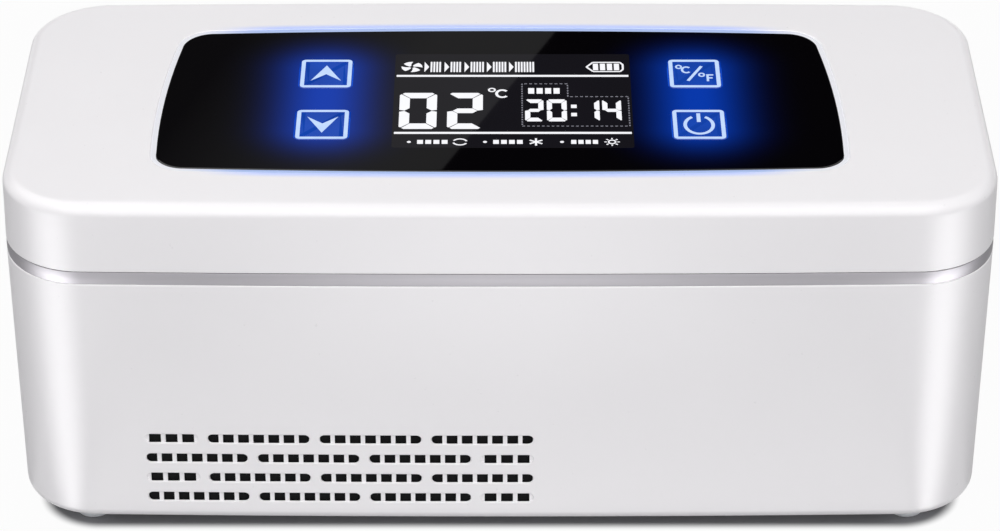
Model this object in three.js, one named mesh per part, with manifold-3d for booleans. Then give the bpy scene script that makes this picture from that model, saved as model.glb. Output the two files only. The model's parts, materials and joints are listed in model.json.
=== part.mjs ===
// Desktop insulin cooling case: a thermoelectric box whose hinged lid carries the control panel.
// Millimetres, +Z up, front face towards -Y, origin on the table under the middle of the case.
import * as THREE from "three";
import { mergeVertices } from "three/addons/utils/BufferGeometryUtils.js";
import Module from "manifold-3d";

const wasm = await Module();
wasm.setup();

// Driving dimensions of the case.
const WIDTH = 205;
const DEPTH = 91;
const CORNER_RADIUS = 17;
const FACE_BOW = 0.9;
const BODY_HEIGHT = 59;
const BODY_TAPER = 0.6;
const BODY_WALL = 2.4;
const BOTTOM_FILLET = 4;
const BAND_HEIGHT = 2.8;
const BAND_THICKNESS = 1.2;
const BAND_EASE = 0.3;
const LID_HEIGHT = 15.4;
const LID_TAPER = 0.2;
const LID_WALL = 2.4;
const LID_TOP = 3.6;
const TOP_FILLET = 2.6;
const FOOT_HEIGHT = 4;
const FOOT = { radius: 4.4, tread: 2.9, edge: 2.2 };
const FOOT_INSET = { x: 15.3, y: 10.8 };

// Clearances: FIT between pieces that are put in by hand, CLOSE_FIT round pieces that are pressed in,
// CONTACT under pieces that rest on each other. JOIN is how far joined bodies run into one another,
// PAST how far a cut runs beyond the face that it opens.
const FIT = 0.3;
const CLOSE_FIT = 0.1;
const CONTACT = 0.05;
const JOIN = 0.5;
const PAST = 1;

// Cold compartment; its insets leave a mouth for pens about 165 mm long.
const TRAY_INSET = { x: 13.5, y: 17.5 };
const TRAY_CORNER = 9;
const TRAY_FLOOR_FILLET = 4;
const TRAY_WALL = 1;
const TRAY_FLANGE = 2.5;
const DECK_DROP = 0.6;
const DECK_THICKNESS = 3;
const LEDGE_WIDTH = 2;
const LEDGE_HEIGHT = 2.7;
const SEAL_WIDTH = 2;
const SEAL_GROOVE_DEPTH = 1.2;
const SEAL_MARGIN = 0.5;
const SEAL_CROWN = 0.5;
const FOAM_WALL = 6.5;
const FOAM_FLOOR = 7.3;

// Cooling stack under the tray.
const COLD_BLOCK = { length: 46, width: 44, height: 6.5 };
const MODULE_SIZE = 40;
const MODULE_HEIGHT = 3.6;
const MODULE_PLATE = 0.8;
const MODULE_PELLETS = 4;
const MODULE_SEAL_WALL = 9;
const SINK = { base: 3.6, fin: 8.4, fins: 15, thickness: 1.4, border: 6 };
const SINK_POST = { radius: 2.1, insetX: 2.6, insetY: 3 };
const SINK_INSET = { x: 27.5, y: 10.5 };
const FAN = { size: 40, height: 10, corner: 3, bore: 19, hub: 8.3, blades: 7, tipGap: 1, seat: 2, lift: 1.5 };
const FAN_ARM = { width: 2.2, height: 1.6 };
const FAN_HOLE = { inset: 3.6, radius: 1.7 };
const BLADE = { chord: 3.6, thickness: 0.9, rootSink: 1.5, lift: 0.4 };

// Electronics in the base.
const CELL_RADIUS = 9.2;
const CELL_LENGTH = 65;
const CELL_PITCH = 19.4;
const CELL_CAP = 3;
const CELL_NECK = 1;
const BATTERY = { insetX: 21.7, insetY: 6.6, wall: 2, floor: 1.5, height: 10, sinkGap: 2.2 };
const BOARD = { insetX: 19.5, insetY: 8.5, length: 70, gap: 2.1, thickness: 1.6, lift: 3.6 };
const BOARD_POST = { radius: 2.2, inset: 4 };
const CHIP = { size: 10, height: 1.4, fromLeft: 29, fromRear: 14 };
const COIL = { radius: 5, height: 5, fromLeft: 13, fromFront: 12 };
const PLUG_HEADER = { length: 12, width: 5.5, height: 6, fromLeft: 43, fromFront: 5 };
const CAPACITOR = { radius: 3.2, height: 8, fromLeft: 11, fromRear: 6 };
const SOCKET = {
  inset: 13,
  width: 9.5,
  height: 11,
  depth: 13,
  nose: 3.9,
  bore: 3,
  boreDepth: 9,
  pin: 1,
  pinSetback: 1,
  recess: 0.2,
};

// Base cover and its screws, which sit under the feet.
const BASE_THICKNESS = 2.2;
const BASE_MARGIN = 0.5;
const INLET = { rows: 7, pitch: 5.2, slot: 2.8, rim: 1 };
const SCREW = { shank: 1.4, head: 2.7, headHeight: 1.8, length: 11 };
const LID_SCREW_LENGTH = 7.5;
const WELL = { bore: 3.1, depth: 2.4, pad: 4.6, padHeight: 4, hole: 1.7 };
const BOSS_RADIUS = 3.5;
const BOSS_RIB = 2;
const BOSS_END = 3;

// Front air outlet: four rows of capsule slots crossed by set-back ribs.
const VENT = { inset: 28.1, lift: 6, rows: 4, pitch: 4.96, height: 2.1, gap: 2.1, setback: 0.8 };
const LONG_SLOT = { cells: 7, pitch: 3.18, rib: 0.9, land: 0 };
const SHORT_SLOT = { cells: 3, pitch: 3.48, rib: 0.97, land: 0.77 };
const LONG_SLOTS = 3;

// Rear hinge: the lid's lower back edge is rounded about the axis and rolls over the rim of the body.
const HINGE_INSET = 5;
const KNUCKLE_RADIUS = 3.6;
const KNUCKLE_WIDTH = 22;
const KNUCKLE_INSET = 47.5;
const KNUCKLE_GAP = 0.4;
const KNUCKLE_POST = 5;
const KNUCKLE_SETBACK = 1;
const CHEEK = 6;
const CHEEK_FRONT = 1.5;
const PIN_RADIUS = 1.25;
const PIN_REACH = 5;

// Closing magnets along the front edge.
const MAGNET = { insetX: 42.5, insetY: 6.9, length: 12, width: 4, thickness: 1.2, fit: 0.2 };

// Control panel in the lid.
const PANEL = { corner: 6.5, bow: 1.3, sideBow: 1, taper: 1.5, thickness: 1.8 };
const PANEL_INSET = { side: 31.45, front: 15.3, rear: 14.7 };
const PANEL_LEDGE = 3;
const GUIDE_WIDTH = 1;
const DISPLAY = { gap: 7.2, border: 9.5, glass: 1.1, backlight: 1.8, rim: 2, well: 0.4 };
const DISPLAY_SHIFT = { x: 0.45, y: -0.6 };
const KEY = { width: 11.3, depth: 12.6, corner: 1.2, fit: 0.2, lip: 0.6, lipHeight: 0.6, play: 0.25 };
const KEY_INSET = 31.6;
const KEY_SHIFT = 2.23;
const KEY_ROW = 11;
const KEY_STEM = 1.6;
const SWITCH = { size: 6, height: 1.9, well: 1.9, wellDepth: 1.3, engage: 0.8 };
const CONTROL_BOARD = { overhang: 3.1, setback: 6.25, thickness: 1.6, drop: 5.5, post: 2 };
const CONTROL_POST_INSET = { x: 3, y: 4 };

// Lid liner with the plug that closes the tray.
const LINER_LIFT = 0.2;
const LINER_THICKNESS = 1.8;
const PLUG_MARGIN = 2.5;
const PLUG_DIP = 1.5;
const PLUG_WALL = 1.6;
const PLUG_FILLET = 1.2;
const CEILING_FILLET = 2;

// Facet counts.
const CASE_STEPS = 6;
const TRAY_STEPS = 4;
const PANEL_STEPS = 4;
const SMALL_STEPS = 2;
const STEM_SIDES = 8;
const ROLL_SIDES = 40;
const FOOT_SIDES = 16;
const EDGE_STEPS = 4;
const FILLET_STEPS = 3;

// Plan sizes and places that follow from the case and the insets.
const footX = WIDTH / 2 - FOOT_INSET.x;
const footY = DEPTH / 2 - FOOT_INSET.y;
const trayLength = WIDTH - 2 * TRAY_INSET.x;
const trayWidth = DEPTH - 2 * TRAY_INSET.y;
const batteryLength = CELL_LENGTH + 2 * FIT + 2 * BATTERY.wall;
const batteryWidth = CELL_PITCH + 2 * CELL_RADIUS + 2 * BATTERY.wall;
const batteryX = WIDTH / 2 - BATTERY.insetX - batteryLength / 2;
const batteryY = batteryWidth / 2 + BATTERY.insetY - DEPTH / 2;
const sinkLeft = SINK_INSET.x - WIDTH / 2;
const sinkRight = batteryX - batteryLength / 2 - BATTERY.sinkGap;
const sinkLength = sinkRight - sinkLeft;
const sinkDepth = DEPTH - 2 * SINK_INSET.y;
const stackX = (sinkLeft + sinkRight) / 2;
const boardX = WIDTH / 2 - BOARD.insetX - BOARD.length / 2;
const boardFront = batteryY + batteryWidth / 2 + BOARD.gap;
const boardRear = DEPTH / 2 - BOARD.insetY;
const boardY = (boardFront + boardRear) / 2;
const boardLeft = boardX - BOARD.length / 2;
const socketX = boardX + BOARD.length / 2 - SOCKET.inset;
const knuckleX = WIDTH / 2 - KNUCKLE_INSET;
const magnetX = WIDTH / 2 - MAGNET.insetX;
const magnetY = MAGNET.insetY - DEPTH / 2;
const panelWidth = WIDTH - 2 * PANEL_INSET.side;
const panelDepth = DEPTH - PANEL_INSET.front - PANEL_INSET.rear;
const panelY = (PANEL_INSET.front - PANEL_INSET.rear) / 2;
const keyColumn = panelWidth / 2 - KEY_INSET;
const displayX = KEY_SHIFT + DISPLAY_SHIFT.x;
const displayY = panelY + DISPLAY_SHIFT.y;
const displayWidth = 2 * (keyColumn - KEY.width / 2 - KEY.lip - DISPLAY.gap);
const displayDepth = panelDepth - 2 * DISPLAY.border;
const controlLength = panelWidth + 2 * CONTROL_BOARD.overhang;
const controlWidth = panelDepth - 2 * CONTROL_BOARD.setback;

// Levels that follow from the sizes above.
const underside = FOOT_HEIGHT;
const baseTop = underside + BASE_THICKNESS;
const bandBottom = underside + BODY_HEIGHT;
const bandTop = bandBottom + BAND_HEIGHT;
const lidBottom = bandTop + FIT;
const lidTop = lidBottom + LID_HEIGHT;
const deckTop = bandTop - DECK_DROP;
const deckBottom = deckTop - DECK_THICKNESS;
const ledgeTop = deckBottom - CONTACT;
const fanBottom = baseTop + FAN.lift;
const fanTop = fanBottom + FAN.height;
const finBottom = fanTop + CONTACT;
const sinkBaseBottom = finBottom + SINK.fin;
const sinkTop = sinkBaseBottom + SINK.base;
const moduleBottom = sinkTop + CONTACT;
const moduleTop = moduleBottom + MODULE_HEIGHT;
const blockBottom = moduleTop + CONTACT;
const blockTop = blockBottom + COLD_BLOCK.height;
const trayBottom = blockTop + CONTACT;
const trayFloor = trayBottom + TRAY_WALL;
const foamFloorTop = trayBottom - FIT;
const foamBottom = foamFloorTop - FOAM_FLOOR;
const hingeY = DEPTH / 2 - HINGE_INSET;
const hingeZ = lidBottom + HINGE_INSET;
const linerBottom = lidBottom + LINER_LIFT;
const linerTop = linerBottom + LINER_THICKNESS;
const plugBottom = deckTop - PLUG_DIP;
const plugFloor = plugBottom + PLUG_WALL;
const panelBottom = lidTop - PANEL.thickness;
const recessFloor = panelBottom - CONTACT;
const controlTop = lidTop - CONTROL_BOARD.drop;
const controlBottom = controlTop - CONTROL_BOARD.thickness;
const boardBottom = baseTop + BOARD.lift;
const boardTop = boardBottom + BOARD.thickness;
const cellZ = baseTop + CONTACT + BATTERY.floor + FIT + CELL_RADIUS;

// Turns a three.js geometry into a closed body: shared corners, no collapsed facets, facing outwards.
function solid(geometry) {
  const bare = geometry.clone();
  bare.deleteAttribute("normal");
  bare.deleteAttribute("uv");
  const merged = mergeVertices(bare, 1e-4);
  const corners = merged.getAttribute("position");
  const index = merged.getIndex();
  const facets = [];
  const a = new THREE.Vector3();
  const b = new THREE.Vector3();
  const c = new THREE.Vector3();
  let volume = 0;
  for (let i = 0; i < index.count; i += 3) {
    const facet = [index.getX(i), index.getX(i + 1), index.getX(i + 2)];
    if (new Set(facet).size < 3) {
      continue;
    }
    facets.push(facet);
    a.fromBufferAttribute(corners, facet[0]);
    b.fromBufferAttribute(corners, facet[1]);
    c.fromBufferAttribute(corners, facet[2]);
    volume += a.dot(b.cross(c));
  }
  const outward = volume < 0 ? facets.map(([p, q, r]) => [p, r, q]) : facets;
  const mesh = new wasm.Mesh({
    numProp: 3,
    vertProperties: new Float32Array(corners.array),
    triVerts: new Uint32Array(outward.flat()),
  });
  return new wasm.Manifold(mesh);
}

function join(...bodies) {
  return bodies.flat().reduce((whole, body) => whole.add(body));
}

function cut(whole, ...tools) {
  return tools.flat().reduce((rest, tool) => rest.subtract(tool), whole);
}

function geometryOf(body) {
  const mesh = body.getMesh();
  const geometry = new THREE.BufferGeometry();
  geometry.setAttribute("position", new THREE.Float32BufferAttribute(mesh.vertProperties, 3));
  geometry.setIndex(new THREE.Uint32BufferAttribute(mesh.triVerts, 1));
  geometry.computeVertexNormals();
  return geometry;
}

// Sides of a round piece, more on a larger one.
function sidesFor(radius) {
  return 4 * Math.round(0.9 + Math.sqrt(radius));
}

// Simple bodies given by their limits.
function block(x0, x1, y0, y1, z0, z1) {
  const geometry = new THREE.BoxGeometry(x1 - x0, y1 - y0, z1 - z0);
  geometry.translate((x0 + x1) / 2, (y0 + y1) / 2, (z0 + z1) / 2);
  return solid(geometry);
}

function plate(x, y, length, width, z0, z1) {
  return block(x - length / 2, x + length / 2, y - width / 2, y + width / 2, z0, z1);
}

function rodZ(x, y, radius, z0, z1, steps = sidesFor(radius)) {
  const geometry = new THREE.CylinderGeometry(radius, radius, z1 - z0, steps);
  geometry.rotateX(Math.PI / 2);
  geometry.translate(x, y, (z0 + z1) / 2);
  return solid(geometry);
}

function rodX(x0, x1, y, z, radius, steps = sidesFor(radius)) {
  const geometry = new THREE.CylinderGeometry(radius, radius, x1 - x0, steps);
  geometry.rotateZ(Math.PI / 2);
  geometry.translate((x0 + x1) / 2, y, z);
  return solid(geometry);
}

function rodY(x, y0, y1, z, radius, steps = sidesFor(radius)) {
  const geometry = new THREE.CylinderGeometry(radius, radius, y1 - y0, steps);
  geometry.translate(x, (y0 + y1) / 2, z);
  return solid(geometry);
}

// Rounded rectangle whose long and short sides may bow outwards; counter-clockwise from above.
function roundedOutline(halfX, halfY, radius, cornerSteps, bow = 0, sideBow = 0) {
  const cornerX = halfX - sideBow - radius;
  const cornerY = halfY - bow - radius;
  const signs = [[1, 1], [-1, 1], [-1, -1], [1, -1]];
  const points = [];
  signs.forEach(([sx, sy], corner) => {
    for (let step = 0; step <= cornerSteps; step += 1) {
      const angle = (corner + step / cornerSteps) * Math.PI / 2;
      const x = sx * cornerX + radius * Math.cos(angle);
      const y = sy * cornerY + radius * Math.sin(angle);
      points.push(new THREE.Vector2(x, y));
    }
    const alongX = corner % 2 === 0;
    const crown = alongX ? bow : sideBow;
    for (let step = 1; crown > 0 && step < EDGE_STEPS; step += 1) {
      const t = 1 - 2 * step / EDGE_STEPS;
      const rise = crown * (1 - t * t);
      const x = alongX ? sy * t * cornerX : sx * (cornerX + radius + rise);
      const y = alongX ? sy * (cornerY + radius + rise) : -sx * t * cornerY;
      points.push(new THREE.Vector2(x, y));
    }
  });
  return points;
}

function caseOutline(inset) {
  return roundedOutline(WIDTH / 2 - inset, DEPTH / 2 - inset, CORNER_RADIUS - inset, CASE_STEPS, FACE_BOW);
}

function trayOutline(grow) {
  return roundedOutline(trayLength / 2 + grow, trayWidth / 2 + grow, TRAY_CORNER + grow, TRAY_STEPS);
}

// Outline of the control panel, which is wider at the front than at the rear.
function panelOutline(grow) {
  const points = roundedOutline(
    panelWidth / 2 + grow,
    panelDepth / 2 + grow,
    PANEL.corner + grow,
    PANEL_STEPS,
    PANEL.bow,
    PANEL.sideBow,
  );
  const lean = PANEL.taper / (panelWidth / 2) / (panelDepth / 2);
  const tapered = points.map((point) => new THREE.Vector2(point.x * (1 - lean * point.y), point.y));
  return moved(tapered, 0, panelY);
}

function moved(points, x, y) {
  return points.map((point) => new THREE.Vector2(point.x + x, point.y + y));
}

function prism(points, z0, z1) {
  const options = { depth: z1 - z0, bevelEnabled: false };
  const geometry = new THREE.ExtrudeGeometry(new THREE.Shape(points), options);
  geometry.translate(0, 0, z0);
  return solid(geometry);
}

// Skins a rising stack of plan outlines with equal point counts and closes both ends.
function loft(sections) {
  const count = sections[0].points.length;
  const positions = [];
  const index = [];
  for (const { points, z } of sections) {
    points.forEach((point) => positions.push(point.x, point.y, z));
  }
  for (let level = 0; level + 1 < sections.length; level += 1) {
    for (let i = 0; i < count; i += 1) {
      const p = level * count + i;
      const q = level * count + (i + 1) % count;
      index.push(p, q, q + count, p, q + count, p + count);
    }
  }
  const last = (sections.length - 1) * count;
  for (const [p, q, r] of THREE.ShapeUtils.triangulateShape(sections[0].points, [])) {
    index.push(r, q, p);
  }
  for (const [p, q, r] of THREE.ShapeUtils.triangulateShape(sections.at(-1).points, [])) {
    index.push(last + p, last + q, last + r);
  }
  const geometry = new THREE.BufferGeometry();
  geometry.setAttribute("position", new THREE.Float32BufferAttribute(positions, 3));
  geometry.setIndex(index);
  return solid(geometry);
}

// Quarter-round steps of an edge: how far each step stands in from the wall and away from the end face.
function filletSteps(radius) {
  const steps = [];
  for (let step = 0; step <= FILLET_STEPS; step += 1) {
    const angle = step / FILLET_STEPS * Math.PI / 2;
    steps.push({ inset: radius * (1 - Math.sin(angle)), rise: radius * (1 - Math.cos(angle)) });
  }
  return steps;
}

// Straight-walled tub with a rounded floor edge; outlineAt gives its plan for a growth.
function tub(outlineAt, grow, z0, z1, fillet) {
  const edge = filletSteps(fillet).map(({ inset, rise }) => {
    return { points: outlineAt(grow - inset), z: z0 + rise };
  });
  return loft([...edge, { points: outlineAt(grow), z: z1 }]);
}

function bodyInset(z) {
  return BODY_TAPER * Math.max(0, bandBottom - z) / BODY_HEIGHT;
}

// Outer face of the long walls at a place along the case.
function faceDepth(x, z) {
  const reach = WIDTH / 2 - CORNER_RADIUS;
  return DEPTH / 2 - bodyInset(z) - FACE_BOW * Math.min(1, (x / reach) ** 2);
}

function mirrored(build) {
  return [-1, 1].map((side) => build(side));
}

function atCorners(build) {
  return [[-1, -1], [1, -1], [-1, 1], [1, 1]].map(([sx, sy]) => build(sx, sy));
}

function atScrews(build) {
  return atCorners((sx, sy) => build(sx * footX, sy * footY));
}

// Screw well of a cover: a raised pad with a counterbore that opens on the outside.
function wellPad(x, y, z) {
  return rodZ(x, y, WELL.pad, z + FIT, z + WELL.padHeight, STEM_SIDES);
}

function wellBores(x, y, z) {
  const bore = rodZ(x, y, WELL.bore, z - PAST, z + WELL.depth, STEM_SIDES);
  const hole = rodZ(x, y, WELL.hole, z - PAST, z + WELL.padHeight + PAST);
  return [bore, hole];
}

// Screw boss with the rib that ties it to the rounded corner of its wall.
function screwBoss(x, y, z0, z1, wallInset) {
  const centre = new THREE.Vector2(WIDTH / 2 - CORNER_RADIUS, DEPTH / 2 - FACE_BOW - CORNER_RADIUS);
  const offset = new THREE.Vector2(Math.abs(x), Math.abs(y)).sub(centre);
  const reach = CORNER_RADIUS - wallInset + JOIN - offset.length();
  const geometry = new THREE.BoxGeometry(reach, BOSS_RIB, z1 - z0 - BOSS_RIB);
  geometry.translate(reach / 2, 0, (z0 + z1 + BOSS_RIB) / 2);
  geometry.rotateZ(Math.atan2(Math.sign(y) * offset.y, Math.sign(x) * offset.x));
  geometry.translate(x, y, 0);
  return join(rodZ(x, y, BOSS_RADIUS, z0, z1, STEM_SIDES), solid(geometry));
}

function pilotHole(x, y, z0, z1) {
  return rodZ(x, y, SCREW.shank + FIT, z0 - PAST, z1);
}

// Pan-head screw with level zero under its head, which points down.
function screw(length) {
  const shank = rodZ(0, 0, SCREW.shank, -SCREW.headHeight / 2, length);
  return join(shank, rodZ(0, 0, SCREW.head, -SCREW.headHeight, 0, STEM_SIDES));
}

// Capsule slot of the outlet, lying along X and cut in from the front.
function capsule(x0, x1, z, height, y0, y1) {
  const radius = height / 2;
  const shape = new THREE.Shape();
  shape.absarc(x1 - radius, z, radius, -Math.PI / 2, Math.PI / 2, false);
  shape.absarc(x0 + radius, z, radius, Math.PI / 2, 3 * Math.PI / 2, false);
  const options = { depth: y1 - y0, bevelEnabled: false, curveSegments: 2 };
  const geometry = new THREE.ExtrudeGeometry(shape, options);
  geometry.rotateX(Math.PI / 2);
  geometry.translate(0, y1, 0);
  return solid(geometry);
}

function slotLength({ cells, pitch, rib, land }) {
  return cells * pitch - rib + 2 * land;
}

// Rows run long-slots-last, then long-slots-first, so that the short slots stagger.
function ventRow(row) {
  const kinds = Array(LONG_SLOTS).fill(LONG_SLOT);
  if (row % 2 === 0) {
    kinds.push(SHORT_SLOT);
  } else {
    kinds.unshift(SHORT_SLOT);
  }
  const z = underside + VENT.lift + row * VENT.pitch;
  const slots = [];
  let x = VENT.inset - WIDTH / 2;
  for (const kind of kinds) {
    slots.push({ kind, x0: x, x1: x + slotLength(kind), z });
    x += slotLength(kind) + VENT.gap;
  }
  return slots;
}

// Cutter for one slot: a capsule through the wall, parted by ribs that stand back from the face.
function ventCutter({ kind, x0, x1, z }) {
  const outer = -faceDepth((x0 + x1) / 2, z);
  const front = outer + VENT.setback;
  const inside = outer + BODY_WALL + 2 * PAST;
  const half = VENT.height;
  const first = x0 + kind.land + kind.pitch - kind.rib / 2;
  const ribs = [];
  for (let cell = 0; cell + 1 < kind.cells; cell += 1) {
    const x = first + cell * kind.pitch;
    ribs.push(block(x - kind.rib / 2, x + kind.rib / 2, front, inside + PAST, z - half, z + half));
  }
  if (kind.land > 0) {
    ribs.push(block(x0 - PAST, x0 + kind.land, front, inside + PAST, z - half, z + half));
    ribs.push(block(x1 - kind.land, x1 + PAST, front, inside + PAST, z - half, z + half));
  }
  return cut(capsule(x0, x1, z, VENT.height, outer - 2 * PAST, inside), ribs);
}

function vents() {
  const slots = [];
  for (let row = 0; row < VENT.rows; row += 1) {
    slots.push(...ventRow(row));
  }
  return slots;
}

// Moulded body: tapered wall, rounded foot edge, seat for the band, deck ledge, bosses and front outlet.
function bodyShell() {
  const floorTop = underside + BODY_WALL;
  const footEdge = filletSteps(BOTTOM_FILLET).map(({ inset, rise }) => {
    const z = underside + rise;
    return { points: caseOutline(bodyInset(z) + inset), z };
  });
  const outer = loft([
    ...footEdge,
    { points: caseOutline(0), z: bandBottom },
    { points: caseOutline(0), z: bandTop },
  ]);
  const cavity = loft([
    { points: caseOutline(bodyInset(floorTop) + BODY_WALL), z: floorTop },
    { points: caseOutline(BODY_WALL), z: bandBottom },
    { points: caseOutline(BODY_WALL), z: bandTop + PAST },
  ]);
  const mouth = prism(caseOutline(baseInset() - FIT), underside - PAST, floorTop + PAST);
  const bandSeat = cut(
    prism(caseOutline(-PAST), bandBottom, bandTop + PAST),
    prism(caseOutline(BAND_THICKNESS + CLOSE_FIT), bandBottom - PAST, bandTop + 2 * PAST),
  );
  const ledgeBottom = ledgeTop - LEDGE_HEIGHT;
  const ledge = cut(
    prism(caseOutline(BODY_WALL - JOIN), ledgeBottom, ledgeTop),
    prism(caseOutline(BODY_WALL + LEDGE_WIDTH), ledgeBottom - PAST, ledgeTop + PAST),
  );
  const bossBottom = underside + WELL.padHeight + CONTACT;
  const bossTop = underside + WELL.depth + SCREW.length + BOSS_END;
  const bosses = atScrews((x, y) => screwBoss(x, y, bossBottom, bossTop, BODY_WALL + BODY_TAPER));
  const pilotTop = underside + WELL.depth + SCREW.length + FIT;
  const pilots = atScrews((x, y) => pilotHole(x, y, bossBottom, pilotTop));
  const inside = faceDepth(WIDTH / 2, underside) - BODY_WALL - PAST;
  const inlet = rodY(socketX, inside, DEPTH / 2 + PAST, socketZ(), SOCKET.nose + FIT);
  const hollow = cut(outer, cavity, mouth, bandSeat, inlet);
  const fitted = cut(join(hollow, ledge, bosses), pilots);
  return cut(fitted, vents().map(ventCutter));
}

function baseInset() {
  return BODY_TAPER + BOTTOM_FILLET + BASE_MARGIN;
}

function socketZ() {
  return boardTop + CONTACT + SOCKET.height / 2;
}

// Base cover: screw wells, slotted fan inlet, posts for the heat sink and the main board.
function baseCover() {
  const sheet = prism(caseOutline(baseInset()), underside, baseTop);
  const pads = atScrews((x, y) => wellPad(x, y, underside));
  const sinkPosts = atCorners((sx, sy) => {
    const x = stackX + sx * (sinkLength / 2 - SINK_POST.insetX);
    const y = sy * (sinkDepth / 2 - SINK_POST.insetY);
    return rodZ(x, y, SINK_POST.radius, baseTop - PAST, sinkBaseBottom - CONTACT, STEM_SIDES);
  });
  const boardPosts = atCorners((sx, sy) => {
    const x = boardX + sx * (BOARD.length / 2 - BOARD_POST.inset);
    const y = boardY + sy * ((boardRear - boardFront) / 2 - BOARD_POST.inset);
    return rodZ(x, y, BOARD_POST.radius, baseTop - PAST, boardBottom - CONTACT, STEM_SIDES);
  });
  const reach = FAN.bore - INLET.rim;
  const slots = [];
  for (let row = 0; row < INLET.rows; row += 1) {
    const y = (row - (INLET.rows - 1) / 2) * INLET.pitch;
    const half = Math.sqrt(reach * reach - y * y);
    const slot = roundedOutline(half, INLET.slot / 2, INLET.slot / 2 - CONTACT, SMALL_STEPS);
    slots.push(prism(moved(slot, stackX, y), underside - PAST, baseTop + PAST));
  }
  const bores = atScrews((x, y) => wellBores(x, y, underside)).flat();
  return cut(join(sheet, pads, sinkPosts, boardPosts), slots, bores);
}

// Cast foot: a flat tread that curves up into a straight rim.
function foot() {
  const top = FOOT_HEIGHT - CONTACT;
  const profile = [new THREE.Vector2(0, 0)];
  for (let step = 0; step <= FILLET_STEPS; step += 1) {
    const angle = step / FILLET_STEPS * Math.PI / 2;
    const radius = FOOT.tread + (FOOT.radius - FOOT.tread) * Math.sin(angle);
    profile.push(new THREE.Vector2(radius, FOOT.edge * (1 - Math.cos(angle))));
  }
  profile.push(new THREE.Vector2(FOOT.radius, top), new THREE.Vector2(0, top));
  return solid(new THREE.LatheGeometry(profile, FOOT_SIDES).rotateX(Math.PI / 2));
}

// Bright band round the rim, with eased edges.
function trimBand() {
  const outer = loft([
    { points: caseOutline(BAND_EASE), z: bandBottom + CONTACT },
    { points: caseOutline(0), z: bandBottom + CONTACT + BAND_EASE },
    { points: caseOutline(0), z: bandTop - BAND_EASE },
    { points: caseOutline(BAND_EASE), z: bandTop },
  ]);
  return cut(outer, prism(caseOutline(BAND_THICKNESS), bandBottom - PAST, bandTop + PAST));
}

// Deck round the tray mouth, with the seal groove, magnet pockets and the two hinge knuckles.
function deckFrame() {
  const flange = TRAY_WALL + TRAY_FLANGE;
  const sheet = prism(caseOutline(BODY_WALL + FIT), deckBottom, deckTop);
  const mouth = prism(trayOutline(TRAY_WALL + FIT), deckBottom - PAST, deckTop + PAST);
  const rebate = prism(trayOutline(flange + FIT), deckTop - TRAY_WALL - CONTACT, deckTop + PAST);
  const sealInner = sealGrow() - CLOSE_FIT;
  const sealOuter = sealGrow() + SEAL_WIDTH + CLOSE_FIT;
  const grooveFloor = deckTop - SEAL_GROOVE_DEPTH;
  const groove = cut(
    prism(trayOutline(sealOuter), grooveFloor, deckTop + PAST),
    prism(trayOutline(sealInner), grooveFloor - PAST, deckTop + 2 * PAST),
  );
  const pocketFloor = deckTop - MAGNET.thickness - CLOSE_FIT;
  const pockets = mirrored((side) => magnetPocket(side, pocketFloor, deckTop + PAST));
  const knuckles = mirrored((side) => {
    const x0 = side * knuckleX - KNUCKLE_WIDTH / 2;
    const x1 = side * knuckleX + KNUCKLE_WIDTH / 2;
    const back = DEPTH / 2 - BODY_WALL - KNUCKLE_SETBACK;
    const post = block(x0, x1, back - KNUCKLE_POST, back, deckTop - PAST, hingeZ);
    return join(post, rodX(x0, x1, hingeY, hingeZ, KNUCKLE_RADIUS));
  });
  const bores = mirrored((side) => {
    const reach = KNUCKLE_WIDTH / 2 + PAST;
    return rodX(side * knuckleX - reach, side * knuckleX + reach, hingeY, hingeZ, PIN_RADIUS + FIT);
  });
  return cut(join(cut(sheet, mouth, rebate, groove, pockets), knuckles), bores);
}

function sealGrow() {
  return TRAY_WALL + TRAY_FLANGE + FIT + SEAL_MARGIN;
}

function magnetPocket(side, z0, z1) {
  const length = MAGNET.length + 2 * MAGNET.fit;
  return plate(side * magnetX, magnetY, length, MAGNET.width + 2 * MAGNET.fit, z0, z1);
}

function deckSeal() {
  const bottom = deckTop - SEAL_GROOVE_DEPTH + CONTACT;
  const top = linerBottom - FIT;
  const shoulder = top - SEAL_CROWN;
  const outer = loft([
    { points: trayOutline(sealGrow() + SEAL_WIDTH), z: bottom },
    { points: trayOutline(sealGrow() + SEAL_WIDTH), z: shoulder },
    { points: trayOutline(sealGrow() + SEAL_WIDTH - SEAL_CROWN), z: top },
  ]);
  const inner = loft([
    { points: trayOutline(sealGrow()), z: bottom - PAST },
    { points: trayOutline(sealGrow()), z: shoulder },
    { points: trayOutline(sealGrow() + SEAL_CROWN), z: top },
    { points: trayOutline(sealGrow() + SEAL_CROWN), z: top + PAST },
  ]);
  return cut(outer, inner);
}

// Drawn aluminium tray with a rolled-out flange.
function coldTray() {
  const outer = tub(trayOutline, TRAY_WALL, trayBottom, deckTop, TRAY_FLOOR_FILLET + TRAY_WALL);
  const flange = prism(trayOutline(TRAY_WALL + TRAY_FLANGE), deckTop - TRAY_WALL, deckTop);
  const hollow = tub(trayOutline, 0, trayFloor, deckTop + PAST, TRAY_FLOOR_FILLET);
  return cut(join(outer, flange), hollow);
}

// Foam tub round the tray, open below for the cold block.
function insulationTub() {
  const grow = TRAY_WALL + FIT;
  const outer = prism(trayOutline(grow + FOAM_WALL), foamBottom, deckBottom - FIT);
  const hollow = tub(trayOutline, grow, foamFloorTop, deckBottom + PAST, TRAY_FLOOR_FILLET + grow);
  const length = COLD_BLOCK.length + 2 * FIT;
  const width = COLD_BLOCK.width + 2 * FIT;
  return cut(outer, hollow, plate(stackX, 0, length, width, foamBottom - PAST, foamFloorTop + PAST));
}

function coldBlock() {
  return plate(stackX, 0, COLD_BLOCK.length, COLD_BLOCK.width, blockBottom, blockTop);
}

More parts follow.
